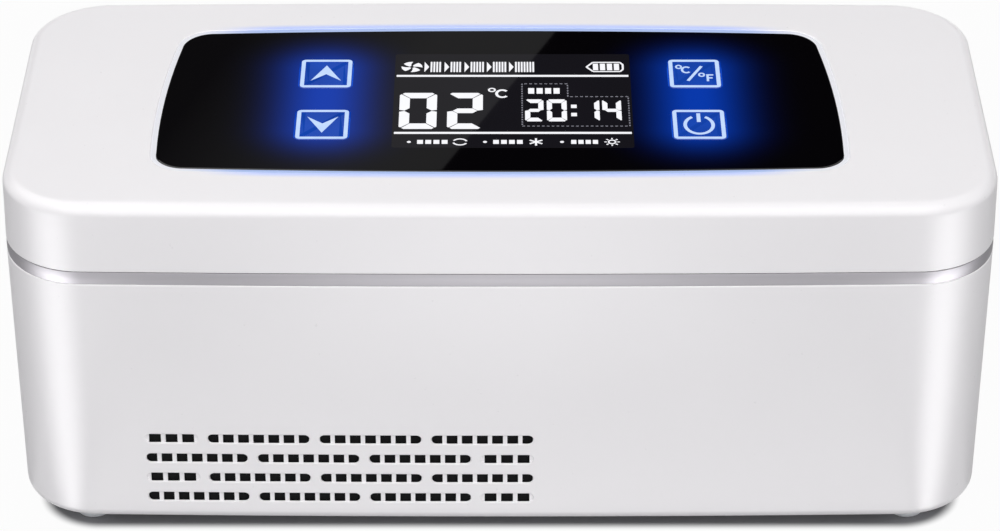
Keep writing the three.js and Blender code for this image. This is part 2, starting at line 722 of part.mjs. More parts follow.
// Thermoelectric module: two ceramic plates joined by rows of pellets.
function peltierModule() {
  const bottom = plate(stackX, 0, MODULE_SIZE, MODULE_SIZE, moduleBottom, moduleBottom + MODULE_PLATE);
  const top = plate(stackX, 0, MODULE_SIZE, MODULE_SIZE, moduleTop - MODULE_PLATE, moduleTop);
  const pitch = MODULE_SIZE / MODULE_PELLETS;
  const pellets = [];
  for (let row = 0; row < MODULE_PELLETS; row += 1) {
    for (let column = 0; column < MODULE_PELLETS; column += 1) {
      const x = stackX + (column + 0.5) * pitch - MODULE_SIZE / 2;
      const y = (row + 0.5) * pitch - MODULE_SIZE / 2;
      const sunk = MODULE_PLATE / 2;
      pellets.push(plate(x, y, pitch / 2, pitch / 2, moduleBottom + sunk, moduleTop - sunk));
    }
  }
  return join(bottom, top, pellets);
}

// Foam frame that keeps the cold and hot sides apart round the module.
function peltierSeal() {
  const outer = MODULE_SIZE + 2 * MODULE_SEAL_WALL;
  const inner = MODULE_SIZE + 2 * FIT;
  const z0 = sinkTop + CONTACT;
  const z1 = foamBottom - CONTACT;
  return cut(plate(stackX, 0, outer, outer, z0, z1), plate(stackX, 0, inner, inner, z0 - PAST, z1 + PAST));
}

// Extruded heat sink: fins run front to back towards the outlet.
function heatSink() {
  const half = sinkLength / 2;
  const span = sinkLength - 2 * SINK.border;
  const shape = new THREE.Shape();
  shape.moveTo(-half, sinkTop);
  shape.lineTo(-half, sinkBaseBottom);
  const pitch = (span - SINK.thickness) / (SINK.fins - 1);
  for (let fin = 0; fin < SINK.fins; fin += 1) {
    const x = -span / 2 + fin * pitch;
    shape.lineTo(x, sinkBaseBottom);
    shape.lineTo(x, finBottom);
    shape.lineTo(x + SINK.thickness, finBottom);
    shape.lineTo(x + SINK.thickness, sinkBaseBottom);
  }
  shape.lineTo(half, sinkBaseBottom);
  shape.lineTo(half, sinkTop);
  const geometry = new THREE.ExtrudeGeometry(shape, { depth: sinkDepth, bevelEnabled: false });
  geometry.rotateX(Math.PI / 2);
  geometry.translate(stackX, sinkDepth / 2, 0);
  return solid(geometry);
}

// Square fan frame with a bore, hub seat, arms and corner holes.
function fanFrame() {
  const half = FAN.size / 2;
  const outline = roundedOutline(half, half, FAN.corner, SMALL_STEPS);
  const frame = cut(
    prism(moved(outline, stackX, 0), fanBottom, fanTop),
    rodZ(stackX, 0, FAN.bore, fanBottom - PAST, fanTop + PAST),
  );
  const hub = rodZ(stackX, 0, FAN.hub, fanBottom, fanBottom + FAN.seat);
  const arms = atCorners((sx, sy) => {
    const geometry = new THREE.BoxGeometry(FAN.bore - FAN.hub + 2 * PAST, FAN_ARM.width, FAN_ARM.height);
    geometry.translate((FAN.bore + FAN.hub) / 2, 0, fanBottom + FAN_ARM.height / 2);
    geometry.rotateZ(Math.atan2(sy, sx));
    geometry.translate(stackX, 0, 0);
    return solid(geometry);
  });
  const holes = atCorners((sx, sy) => {
    const reach = half - FAN_HOLE.inset;
    const x = stackX + sx * reach;
    return rodZ(x, sy * reach, FAN_HOLE.radius, fanBottom - PAST, fanTop + PAST, STEM_SIDES);
  });
  return cut(join(frame, hub, arms), holes);
}

// Fan rotor about its own axis: hub and cambered blades, level zero at the underside of the frame.
function fanRotor() {
  const z0 = FAN.seat + FIT + CLOSE_FIT;
  const z1 = FAN.height - FIT - CLOSE_FIT;
  const { chord, thickness } = BLADE;
  const rise = z1 - z0 - 2 * BLADE.lift;
  const section = new THREE.Shape();
  section.moveTo(-chord, 0);
  section.quadraticCurveTo(chord / 4, rise / 4, chord, rise);
  section.lineTo(chord - thickness, rise);
  section.quadraticCurveTo(chord / 4 - thickness, rise / 4 + thickness, -chord, thickness);
  const root = FAN.hub - BLADE.rootSink;
  const reach = FAN.bore - FAN.tipGap - root;
  const blades = [];
  for (let blade = 0; blade < FAN.blades; blade += 1) {
    const options = { depth: reach, bevelEnabled: false, curveSegments: 4 };
    const geometry = new THREE.ExtrudeGeometry(section, options);
    const turn = new THREE.Matrix4().makeBasis(
      new THREE.Vector3(0, 1, 0),
      new THREE.Vector3(0, 0, 1),
      new THREE.Vector3(1, 0, 0),
    );
    geometry.applyMatrix4(turn);
    geometry.translate(root, 0, z0 + BLADE.lift);
    geometry.rotateZ(blade / FAN.blades * 2 * Math.PI);
    blades.push(solid(geometry));
  }
  return join(rodZ(0, 0, FAN.hub, z0, z1), blades);
}

function batteryHolder() {
  const bottom = baseTop + CONTACT;
  const cradle = plate(batteryX, batteryY, batteryLength, batteryWidth, bottom, bottom + BATTERY.height);
  const reach = CELL_LENGTH / 2 + FIT;
  const beds = mirrored((side) => {
    const y = batteryY + side * CELL_PITCH / 2;
    return rodX(batteryX - reach, batteryX + reach, y, cellZ, CELL_RADIUS + FIT);
  });
  return cut(cradle, beds);
}

// Cylindrical cell lying along X, with the raised cap of its positive end.
function batteryCell() {
  const half = CELL_LENGTH / 2;
  const can = rodX(-half, half - CELL_NECK, 0, 0, CELL_RADIUS);
  return join(can, rodX(half - 2 * CELL_NECK, half, 0, 0, CELL_CAP));
}

// Main board with its regulator, coil and connectors soldered on.
function mainBoard() {
  const sunk = boardTop - JOIN;
  const sheet = block(boardLeft, boardLeft + BOARD.length, boardFront, boardRear, boardBottom, boardTop);
  const chipX = boardLeft + CHIP.fromLeft;
  const chip = plate(chipX, boardRear - CHIP.fromRear, CHIP.size, CHIP.size, sunk, boardTop + CHIP.height);
  const coilX = boardLeft + COIL.fromLeft;
  const coil = rodZ(coilX, boardFront + COIL.fromFront, COIL.radius, sunk, boardTop + COIL.height);
  const header = plate(
    boardLeft + PLUG_HEADER.fromLeft,
    boardFront + PLUG_HEADER.fromFront,
    PLUG_HEADER.length,
    PLUG_HEADER.width,
    sunk,
    boardTop + PLUG_HEADER.height,
  );
  const canX = boardLeft + CAPACITOR.fromLeft;
  const canY = boardRear - CAPACITOR.fromRear;
  const can = rodZ(canX, canY, CAPACITOR.radius, sunk, boardTop + CAPACITOR.height);
  return join(sheet, chip, coil, header, can);
}

// Power inlet: barrel socket with a centre pin, its nose level with the rear face.
function dcSocket() {
  const z = socketZ();
  const back = faceDepth(socketX, z) - SOCKET.recess;
  const shoulder = faceDepth(socketX + SOCKET.width, z) - BODY_WALL - FIT;
  const half = SOCKET.height / 2;
  const housing = plate(socketX, shoulder - SOCKET.depth / 2, SOCKET.width, SOCKET.depth, z - half, z + half);
  const nose = rodY(socketX, shoulder - PAST, back, z, SOCKET.nose);
  const bore = rodY(socketX, back - SOCKET.boreDepth, back + PAST, z, SOCKET.bore);
  const pin = rodY(socketX, back - SOCKET.boreDepth - JOIN, back - SOCKET.pinSetback, z, SOCKET.pin);
  return join(cut(join(housing, nose), bore), pin);
}

function magnet() {
  return plate(0, 0, MAGNET.length, MAGNET.width, 0, MAGNET.thickness);
}

function hingePin() {
  const half = KNUCKLE_WIDTH / 2 + KNUCKLE_GAP + PIN_REACH;
  return rodX(-half, half, 0, 0, PIN_RADIUS);
}

// Tool that rounds the lower back edge of a lid piece about the hinge axis.
function rollTool(radius) {
  const reach = WIDTH / 2 + PAST;
  const corner = block(-reach, reach, hingeY, DEPTH / 2 + PAST, plugBottom - PAST, hingeZ);
  return cut(corner, rodX(-reach - PAST, reach + PAST, hingeY, hingeZ, radius, ROLL_SIDES));
}

// Block of the lid that holds one hinge pin, and the gap that it leaves in the liner.
function hingeBlock(side, grow, back, bottom) {
  const half = KNUCKLE_WIDTH / 2 + KNUCKLE_GAP + CHEEK + grow;
  const front = hingeY - KNUCKLE_RADIUS - KNUCKLE_GAP - CHEEK_FRONT - grow;
  return block(side * knuckleX - half, side * knuckleX + half, front, back, bottom, lidTop - LID_TOP + JOIN);
}

// Lid moulding: softly rounded cap with the panel recess, hinge housings and screw bosses.
function lidShell() {
  const topEdge = filletSteps(TOP_FILLET).reverse().map(({ inset, rise }) => {
    return { points: caseOutline(LID_TAPER + inset), z: lidTop - rise };
  });
  const outer = loft([{ points: caseOutline(0), z: lidBottom }, ...topEdge]);
  const ceiling = lidTop - LID_TOP;
  const innerEdge = filletSteps(CEILING_FILLET).reverse().map(({ inset, rise }) => {
    return { points: caseOutline(LID_WALL + LID_TAPER + inset), z: ceiling - rise };
  });
  const cavity = loft([{ points: caseOutline(LID_WALL), z: lidBottom - PAST }, ...innerEdge]);
  const recess = prism(panelOutline(GUIDE_WIDTH + CLOSE_FIT), recessFloor, lidTop + PAST);
  const window = prism(panelOutline(-PANEL_LEDGE), ceiling - PAST, lidTop);
  const bossBottom = linerBottom + WELL.padHeight + CONTACT;
  const bosses = atScrews((x, y) => screwBoss(x, y, bossBottom, ceiling + JOIN, LID_WALL + LID_TAPER));
  const pilots = atScrews((x, y) => {
    return pilotHole(x, y, bossBottom, linerBottom + WELL.depth + LID_SCREW_LENGTH + FIT);
  });
  const posts = atCorners((sx, sy) => {
    const x = sx * (controlLength / 2 - CONTROL_POST_INSET.x);
    const y = panelY + sy * (controlWidth / 2 - CONTROL_POST_INSET.y);
    return rodZ(x, y, CONTROL_BOARD.post, controlTop + CONTACT, ceiling + JOIN, STEM_SIDES);
  });
  const housings = mirrored((side) => hingeBlock(side, 0, DEPTH / 2 - LID_WALL + JOIN, linerBottom));
  const notches = mirrored((side) => {
    const half = KNUCKLE_WIDTH / 2 + KNUCKLE_GAP;
    const x0 = side * knuckleX - half;
    const x1 = side * knuckleX + half;
    const clear = KNUCKLE_RADIUS + KNUCKLE_GAP;
    const slot = block(x0, x1, hingeY - clear, DEPTH / 2 + PAST, lidBottom - PAST, hingeZ + KNUCKLE_POST / 2);
    return join(slot, rodX(x0, x1, hingeY, hingeZ, clear));
  });
  const bores = mirrored((side) => {
    const half = KNUCKLE_WIDTH / 2 + KNUCKLE_GAP + PIN_REACH + FIT;
    return rodX(side * knuckleX - half, side * knuckleX + half, hingeY, hingeZ, PIN_RADIUS + FIT);
  });
  const cap = join(cut(outer, cavity), bosses, posts, housings);
  return cut(cap, recess, window, pilots, notches, bores, rollTool(HINGE_INSET));
}

// Lid liner: closes the lid from below and carries the plug, magnet pockets and screw wells.
function lidLiner() {
  const sheet = prism(caseOutline(LID_WALL + FIT), linerBottom, linerTop);
  const plug = tub(trayOutline, -PLUG_MARGIN, plugBottom, linerBottom + PAST, PLUG_FILLET);
  const hollow = prism(trayOutline(-PLUG_MARGIN - PLUG_WALL), plugFloor, linerTop + PAST);
  const pads = atScrews((x, y) => wellPad(x, y, linerBottom));
  const bores = atScrews((x, y) => wellBores(x, y, linerBottom)).flat();
  const pocketTop = linerBottom + MAGNET.thickness + CLOSE_FIT;
  const pockets = mirrored((side) => magnetPocket(side, linerBottom - PAST, pocketTop));
  const gaps = mirrored((side) => hingeBlock(side, FIT, DEPTH / 2 + PAST, plugBottom - PAST));
  return cut(join(sheet, plug, pads), hollow, bores, pockets, gaps, rollTool(HINGE_INSET - FIT));
}

function lidFoam() {
  const grow = -PLUG_MARGIN - PLUG_WALL - FIT;
  return prism(trayOutline(grow), plugFloor + CONTACT, controlBottom - CONTACT);
}

function keyPlaces() {
  return [
    { name: "up", x: KEY_SHIFT - keyColumn, y: panelY + KEY_ROW },
    { name: "down", x: KEY_SHIFT - keyColumn, y: panelY - KEY_ROW },
    { name: "unit", x: KEY_SHIFT + keyColumn, y: panelY + KEY_ROW },
    { name: "power", x: KEY_SHIFT + keyColumn, y: panelY - KEY_ROW },
  ];
}

function keyOutline(grow) {
  return roundedOutline(KEY.width / 2 + grow, KEY.depth / 2 + grow, KEY.corner + grow, SMALL_STEPS);
}

function controlPanel() {
  const windows = keyPlaces().map(({ x, y }) => {
    return prism(moved(keyOutline(KEY.fit), x, y), panelBottom - PAST, lidTop + PAST);
  });
  return cut(prism(panelOutline(0), panelBottom, lidTop), windows);
}

// Clear frame round the panel that carries the blue edge light.
function panelLightGuide() {
  const outer = prism(panelOutline(GUIDE_WIDTH), panelBottom, lidTop);
  return cut(outer, prism(panelOutline(CLOSE_FIT), panelBottom - PAST, lidTop + PAST));
}

// Key with level zero at its top face: cap, retaining lip and the stem that runs in its switch.
function key() {
  const lipTop = -PANEL.thickness - KEY.play;
  const lipBottom = lipTop - KEY.lipHeight;
  const stemEnd = controlTop + CONTACT + SWITCH.height - SWITCH.engage - lidTop;
  const cap = prism(keyOutline(0), lipTop, 0);
  const lip = prism(keyOutline(KEY.lip), lipBottom, lipTop);
  return join(cap, lip, rodZ(0, 0, KEY_STEM, stemEnd, lipBottom + JOIN, STEM_SIDES));
}

// Low click switch with level zero on its board.
function keySwitch() {
  const housing = plate(0, 0, SWITCH.size, SWITCH.size, 0, SWITCH.height);
  const floor = SWITCH.height - SWITCH.wellDepth;
  return cut(housing, rodZ(0, 0, SWITCH.well, floor, SWITCH.height + PAST, STEM_SIDES));
}

function controlBoard() {
  return plate(0, panelY, controlLength, controlWidth, controlBottom, controlTop);
}

function displayGlass() {
  const z = panelBottom - CONTACT;
  return plate(displayX, displayY, displayWidth, displayDepth, z - DISPLAY.glass, z);
}

function displayBacklight() {
  const bottom = controlTop + CONTACT;
  const top = bottom + DISPLAY.backlight;
  const wellWidth = displayWidth - 2 * DISPLAY.rim;
  const wellDepth = displayDepth - 2 * DISPLAY.rim;
  const tray = plate(displayX, displayY, displayWidth, displayDepth, bottom, top);
  return cut(tray, plate(displayX, displayY, wellWidth, wellDepth, top - DISPLAY.well, top + PAST));
}

// Finishes as seen in daylight.
function finish(color, roughness, metalness = 0) {
  return new THREE.MeshStandardMaterial({ color, roughness, metalness });
}

const whiteAbs = finish(0xe9e7ea, 0.28);
const silver = finish(0xb9bcc2, 0.3, 1);
const smoked = finish(0x0a090c, 0.08);
const litKey = finish(0x1d4fb4, 0.12);
const blueLight = finish(0x4da6ff, 0.2);
const siliconeGrey = finish(0xb8babd, 0.6);
const clearPad = finish(0xe4e6e8, 0.4);
const aluminium = finish(0xc3c6ca, 0.35, 1);
const ceramic = finish(0xf0efe8, 0.5);
const foam = finish(0x3c3d40, 0.95);
const steel = finish(0x9a9da2, 0.3, 1);
const blackPlastic = finish(0x17181a, 0.5);
const board = finish(0x0f5a36, 0.5);
const cellWrap = finish(0x2f7d4f, 0.4);
const darkGlass = finish(0x2c2d33, 0.08);
const backlight = finish(0xdfe6ee, 0.6);
const nickel = finish(0xd0d0cc, 0.2, 1);

function piece(parent, name, body, material, place = [0, 0, 0]) {
  const mesh = new THREE.Mesh(geometryOf(body), material);
  mesh.name = name;
  mesh.position.set(...place);
  parent.add(mesh);
}

const group = new THREE.Group();
group.name = "insulin_cooling_case";

const base = new THREE.Group();
base.name = "case";
group.add(base);
piece(base, "body_shell", bodyShell(), whiteAbs);
piece(base, "base_cover", baseCover(), whiteAbs);
piece(base, "trim_band", trimBand(), silver);
piece(base, "deck_frame", deckFrame(), whiteAbs);
piece(base, "deck_seal", deckSeal(), siliconeGrey);
piece(base, "cold_tray", coldTray(), aluminium);
piece(base, "insulation_tub", insulationTub(), foam);
piece(base, "cold_block", coldBlock(), aluminium);
piece(base, "peltier_module", peltierModule(), ceramic);
piece(base, "peltier_seal", peltierSeal(), foam);
piece(base, "heat_sink", heatSink(), aluminium);
piece(base, "fan_frame", fanFrame(), blackPlastic);
piece(base, "fan_rotor", fanRotor(), blackPlastic, [stackX, 0, fanBottom]);
piece(base, "battery_holder", batteryHolder(), blackPlastic);
piece(base, "main_board", mainBoard(), board);
piece(base, "dc_socket", dcSocket(), blackPlastic);

const sides = [["left", -1], ["right", 1]];
const ends = [["front", -1], ["rear", 1]];
for (const [end, sy] of ends) {
  const cellY = batteryY + sy * CELL_PITCH / 2;
  piece(base, `battery_cell_${end}`, batteryCell(), cellWrap, [batteryX, cellY, cellZ]);
  for (const [side, sx] of sides) {
    const x = sx * footX;
    const y = sy * footY;
    piece(base, `foot_${end}_${side}`, foot(), clearPad, [x, y, 0]);
    const underHead = underside + WELL.depth - CONTACT;
    piece(base, `base_screw_${end}_${side}`, screw(SCREW.length), steel, [x, y, underHead]);
  }
}
for (const [side, sx] of sides) {
  const z = deckTop - MAGNET.thickness - CONTACT;
  piece(base, `deck_magnet_${side}`, magnet(), nickel, [sx * magnetX, magnetY, z]);
  piece(base, `hinge_pin_${side}`, hingePin(), steel, [sx * knuckleX, hingeY, hingeZ]);
}

const lid = new THREE.Group();
lid.name = "lid";
group.add(lid);
piece(lid, "lid_shell", lidShell(), whiteAbs);
piece(lid, "lid_liner", lidLiner(), whiteAbs);
piece(lid, "lid_foam", lidFoam(), foam);
piece(lid, "control_panel", controlPanel(), smoked);
piece(lid, "panel_light_guide", panelLightGuide(), blueLight);
piece(lid, "display_glass", displayGlass(), darkGlass);
piece(lid, "display_backlight", displayBacklight(), backlight);
piece(lid, "control_board", controlBoard(), board);
for (const { name, x, y } of keyPlaces()) {
  piece(lid, `key_${name}`, key(), litKey, [x, y, lidTop]);
  piece(lid, `key_switch_${name}`, keySwitch(), blackPlastic, [x, y, controlTop + CONTACT]);
}
for (const [side, sx] of sides) {
  piece(lid, `lid_magnet_${side}`, magnet(), nickel, [sx * magnetX, magnetY, linerBottom + CONTACT]);
  for (const [end, sy] of ends) {
    const place = [sx * footX, sy * footY, linerBottom + WELL.depth - CONTACT];
    piece(lid, `lid_screw_${end}_${side}`, screw(LID_SCREW_LENGTH), steel, place);
  }
}

export default group;
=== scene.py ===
"""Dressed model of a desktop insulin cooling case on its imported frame.

The lid, body, band, panel, keys and cold compartment are built as smooth mouldings in the places
of the frame's solids; the works inside keep the solids' shapes, some with eased edges. Sizes are in
millimetres and become metres when a mesh is made; only the studio's places are in metres.
"""

from __future__ import annotations

import json
import logging
import math
from collections.abc import Iterable, Mapping, Sequence
from dataclasses import asdict, dataclass, field, replace
from enum import Enum
from typing import ClassVar

import bmesh
import bpy
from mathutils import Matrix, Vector

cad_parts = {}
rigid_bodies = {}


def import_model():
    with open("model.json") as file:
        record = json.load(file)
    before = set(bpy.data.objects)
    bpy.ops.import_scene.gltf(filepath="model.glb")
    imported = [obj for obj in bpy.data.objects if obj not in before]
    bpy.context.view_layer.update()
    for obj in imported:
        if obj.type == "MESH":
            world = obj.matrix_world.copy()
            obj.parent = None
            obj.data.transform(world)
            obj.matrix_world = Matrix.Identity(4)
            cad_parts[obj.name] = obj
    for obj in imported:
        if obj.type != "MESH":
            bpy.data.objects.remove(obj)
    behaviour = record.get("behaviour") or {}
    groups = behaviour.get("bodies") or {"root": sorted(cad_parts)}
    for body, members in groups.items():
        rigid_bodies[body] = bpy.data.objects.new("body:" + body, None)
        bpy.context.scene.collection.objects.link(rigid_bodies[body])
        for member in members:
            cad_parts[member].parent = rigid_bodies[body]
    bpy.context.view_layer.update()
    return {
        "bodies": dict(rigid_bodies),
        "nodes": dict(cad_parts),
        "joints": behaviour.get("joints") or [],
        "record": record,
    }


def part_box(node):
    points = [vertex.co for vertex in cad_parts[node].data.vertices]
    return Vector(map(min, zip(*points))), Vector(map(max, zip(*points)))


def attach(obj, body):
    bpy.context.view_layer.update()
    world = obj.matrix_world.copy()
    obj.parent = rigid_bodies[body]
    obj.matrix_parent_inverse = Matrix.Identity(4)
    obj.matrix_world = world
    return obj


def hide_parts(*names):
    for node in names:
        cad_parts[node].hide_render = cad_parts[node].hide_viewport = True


LOG = logging.getLogger("cooling_case")

Point = tuple[float, float]
Point3 = tuple[float, float, float]
Colour = tuple[float, float, float, float]
Outline = list[Point]
Steps = tuple[int, int, int]
FigureRow = tuple[tuple[str, float, float], ...]
Piece = bpy.types.Object
Tree = bpy.types.NodeTree
Socket = bpy.types.NodeSocket
Nodes = Mapping[str, Piece]

MM = 0.001
UM = 1e-6
# Angle in degrees above which an edge stays sharp.
SHARP = 32.0
# Angle in degrees below which facets of a frame solid are one face, and above which its edges get rounded.
FLAT_ANGLE = 0.6
EASED_ANGLE = 38.0
# Weight of large faces in the shading; 50 is even.
FLAT_WEIGHT = 80
# Distance in metres within which two points become one, on a frame solid and after a cut.
NODE_WELD = 1e-7
CUT_WELD = 1e-6
# How far a cutting tool runs past a face, and how far joined solids run into each other.
PAST = 1.0
JOIN = 0.5
# Steps round each corner, along each long side and along each short side of a plan.
CASE_STEPS: Steps = (18, 32, 10)
KEY_STEPS: Steps = (8, 4, 4)
FRAME_STEPS: Steps = (8, 2, 2)
WINDOW_STEPS: Steps = (6, 2, 2)
CELL_STEPS: Steps = (4, 2, 2)
# Numbers of the mix node's colour inputs and of its colour output.
MIX_A, MIX_B, MIX_RESULT = 6, 7, 2


class Body(Enum):
    """Rigid bodies of the frame."""

    CASE = "case"
    LID = "lid"
    FAN = "fan"
    UP_KEY = "up_key"
    DOWN_KEY = "down_key"
    UNIT_KEY = "unit_key"
    POWER_KEY = "power_key"


class Combine(Enum):
    """Ways of combining two solids."""

    CUT = "DIFFERENCE"
    JOIN = "UNION"


class KeySign(Enum):
    """Signs on the four keys."""

    UP = "up"
    DOWN = "down"
    UNIT = "unit"
    POWER = "power"


class CardDepth(Enum):
    """Thickness of a reflection card, as a shift in metres, by the way it is set up."""

    UPRIGHT = (0.0, 0.004, 0.0)
    FLAT = (0.0, 0.0, 0.0005)


def srgb(code: str) -> Colour:
    """Turns an sRGB hex value into a linear colour.

    Args:
        code: Six hex digits.

    Returns:
        Linear red, green, blue and an alpha of one.
    """
    levels = [int(code[i:i + 2], 16) / 255 for i in (0, 2, 4)]
    linear = [v / 12.92 if v <= 0.04045 else ((v + 0.055) / 1.055) ** 2.4 for v in levels]
    return (linear[0], linear[1], linear[2], 1.0)


def add_node(
    tree: Tree,
    kind: str,
    inputs: Mapping[str | int, object] | None = None,
    **settings: object,
) -> bpy.types.Node:
    """Adds one node with its settings, values and links.

    Args:
        tree: Node tree that gets the node.
        kind: Blender's name of the node type.
        inputs: Values or output sockets by input name or number.
        **settings: Properties of the node.

    Returns:
        The new node.
    """
    node = tree.nodes.new(kind)
    for name, value in settings.items():
        setattr(node, name, value)
    for key, value in (inputs or {}).items():
        if isinstance(value, Socket):
            tree.links.new(value, node.inputs[key])
        else:
            node.inputs[key].default_value = value
    return node


def box_distance(tree: Tree, where: Socket, middle: Point, half: Point) -> Socket:
    """Measures the distance outside a rectangle on plan.

    Args:
        tree: Node tree that gets the nodes.
        where: Coordinates in metres.
        middle: Centre of the rectangle in millimetres.
        half: Half its sides in millimetres.

    Returns:
        Distance in metres, zero inside the rectangle.
    """
    centre = (middle[0] * MM, middle[1] * MM, 0.0)
    reach = (half[0] * MM, half[1] * MM, 1.0)
    from_middle = add_node(tree, "ShaderNodeVectorMath", {0: where, 1: centre}, operation="SUBTRACT")
    size = add_node(tree, "ShaderNodeVectorMath", {0: from_middle.outputs[0]}, operation="ABSOLUTE")
    beyond = add_node(tree, "ShaderNodeVectorMath", {0: size.outputs[0], 1: reach}, operation="SUBTRACT")
    positive = {0: beyond.outputs[0], 1: (0.0, 0.0, 0.0)}
    outside = add_node(tree, "ShaderNodeVectorMath", positive, operation="MAXIMUM")
    length = add_node(tree, "ShaderNodeVectorMath", {0: outside.outputs[0]}, operation="LENGTH")
    return length.outputs["Value"]


@dataclass(frozen=True)
class Surface:
    """Material under construction.

    Attributes:
        made: The material.
        shader: Its surface shader.
        where: Object coordinates in metres.
    """

    made: bpy.types.Material
    shader: bpy.types.Node
    where: Socket

    @classmethod
    def start(cls, name: str, values: Mapping[str, object]) -> Surface:
        """Starts a material.

        Args:
            name: Material name.
            values: Plain values of its shader's inputs.

        Returns:
            The surface, ready for its nodes.
        """
        made = bpy.data.materials.new(name)
        made.use_nodes = True
        shader = made.node_tree.nodes["Principled BSDF"]
        for key, value in values.items():
            shader.inputs[key].default_value = value
        return cls(made, shader, add_node(made.node_tree, "ShaderNodeTexCoord").outputs["Object"])

    @property
    def tree(self) -> Tree:
        """Node tree of the material."""
        return self.made.node_tree

    def drive(self, key: str, source: Socket) -> None:
        """Links a node's output to an input of the shader."""
        self.tree.links.new(source, self.shader.inputs[key])


@dataclass(frozen=True)
class Finish:
    """A real material and how its surface was made.

    Attributes:
        name: Material name.
        colour: Surface colour, sRGB hex.
        roughness: Mean roughness.
        metallic: One for bare metal.
        ior: Index of refraction; metals keep the default.
        mottle: Share by which the colour wanders.
        mottle_mm: Size of the colour clouds.
        grain_mm: Size of the surface grain.
        grain_um: Height of the surface grain in micrometres.
        gloss_spread: How far the roughness wanders with the grain.
        stretch: Stretch of the grain along X, Y and Z, for brushed and drawn surfaces.
        translucency: Share of light that scatters below the surface.
        scatter_mm: How far that light wanders.
        specular: Level of the mirror light, lower on loose fibres.
    """

    name: str
    colour: str
    roughness: float
    metallic: float = 0.0
    ior: float = 1.5
    mottle: float = 0.03
    mottle_mm: float = 25.0
    grain_mm: float = 0.6
    grain_um: float = 4.0
    gloss_spread: float = 0.05
    stretch: Point3 = (1.0, 1.0, 1.0)
    translucency: float = 0.0
    scatter_mm: float = 2.0
    specular: float = 0.5

    def material(self) -> bpy.types.Material:
        """Makes the material once and keeps it by its name.

        Returns:
            The material.
        """
        found = bpy.data.materials.get(self.name)
        if found is not None:
            return found
        values: dict[str, object] = {
            "Metallic": self.metallic,
            "IOR": self.ior,
            "Specular IOR Level": self.specular,
        }
        if self.translucency:
            values["Subsurface Weight"] = self.translucency
            values["Subsurface Radius"] = (self.scatter_mm * MM,) * 3
            values["Subsurface Scale"] = 1.0
        surface = Surface.start(self.name, values)
        self.dress(surface)
        return surface.made

    def dress(self, surface: Surface) -> None:
        """Adds colour clouds, wandering gloss and surface grain.

        Args:
            surface: Material under construction.
        """
        tree, where = surface.tree, surface.where
        clouds = add_node(tree, "ShaderNodeTexNoise", {"Vector": where, "Scale": 1 / (self.mottle_mm * MM)})
        wander = {"Value": clouds.outputs["Fac"], "To Min": 1 - self.mottle, "To Max": 1 + self.mottle}
        tone = add_node(tree, "ShaderNodeMapRange", wander)
        tones = {"Factor": 1.0, MIX_A: srgb(self.colour), MIX_B: tone.outputs["Result"]}
        tint = add_node(tree, "ShaderNodeMix", tones, data_type="RGBA", blend_type="MULTIPLY")
        surface.drive("Base Color", tint.outputs[MIX_RESULT])
        scale = tuple(1 / (self.grain_mm * MM * part) for part in self.stretch)
        spread = add_node(tree, "ShaderNodeMapping", {"Vector": where, "Scale": scale})
        grain = add_node(tree, "ShaderNodeTexNoise", {"Vector": spread.outputs["Vector"], "Scale": 1.0})
        levels = {
            "Value": grain.outputs["Fac"],
            "To Min": max(0.0, self.roughness - self.gloss_spread),
            "To Max": self.roughness + self.gloss_spread,
        }
        gloss = add_node(tree, "ShaderNodeMapRange", levels)
        surface.drive("Roughness", gloss.outputs["Result"])
        relief = {"Height": grain.outputs["Fac"], "Strength": 1.0, "Distance": self.grain_um * UM}
        surface.drive("Normal", add_node(tree, "ShaderNodeBump", relief).outputs["Normal"])


@dataclass(frozen=True)
class GlowColumn:
    """A pair of keys whose light spreads under the panel.

    Attributes:
        middle: Centre of a box round the pair, on the panel's plan.
        half: Half the sides of that box.
        spread: Distance from the box in which the light falls to about a third.
    """

    middle: Point
    half: Point
    spread: float


@dataclass(frozen=True)
class LitAcrylic(Finish):
    """Smoked acrylic with light that spreads from key columns below it.

    Attributes:
        columns: Where the light comes from.
        light: Colour of the light, sRGB hex.
    """

    columns: tuple[GlowColumn, ...] = ()
    light: str = "0538AA"

    def dress(self, surface: Surface) -> None:
        """Adds the spreading light, a bell curve about each column, to the plain surface.

        Args:
            surface: Material under construction.
        """
        super().dress(surface)
        tree = surface.tree
        total: Socket | float = 0.0
        for column in self.columns:
            distance = box_distance(tree, surface.where, column.middle, column.half)
            spread = column.spread * MM
            ratio = add_node(tree, "ShaderNodeMath", {0: distance, 1: spread}, operation="DIVIDE")
            minus = add_node(tree, "ShaderNodeMath", {0: distance, 1: -spread}, operation="DIVIDE")
            fall = {0: ratio.outputs[0], 1: minus.outputs[0]}
            power = add_node(tree, "ShaderNodeMath", fall, operation="MULTIPLY")
            glow = add_node(tree, "ShaderNodeMath", {0: power.outputs[0]}, operation="EXPONENT")
            both = {0: glow.outputs[0], 1: total}
            total = add_node(tree, "ShaderNodeMath", both, operation="ADD").outputs[0]
        surface.shader.inputs["Emission Color"].default_value = srgb(self.light)
        surface.drive("Emission Strength", total)


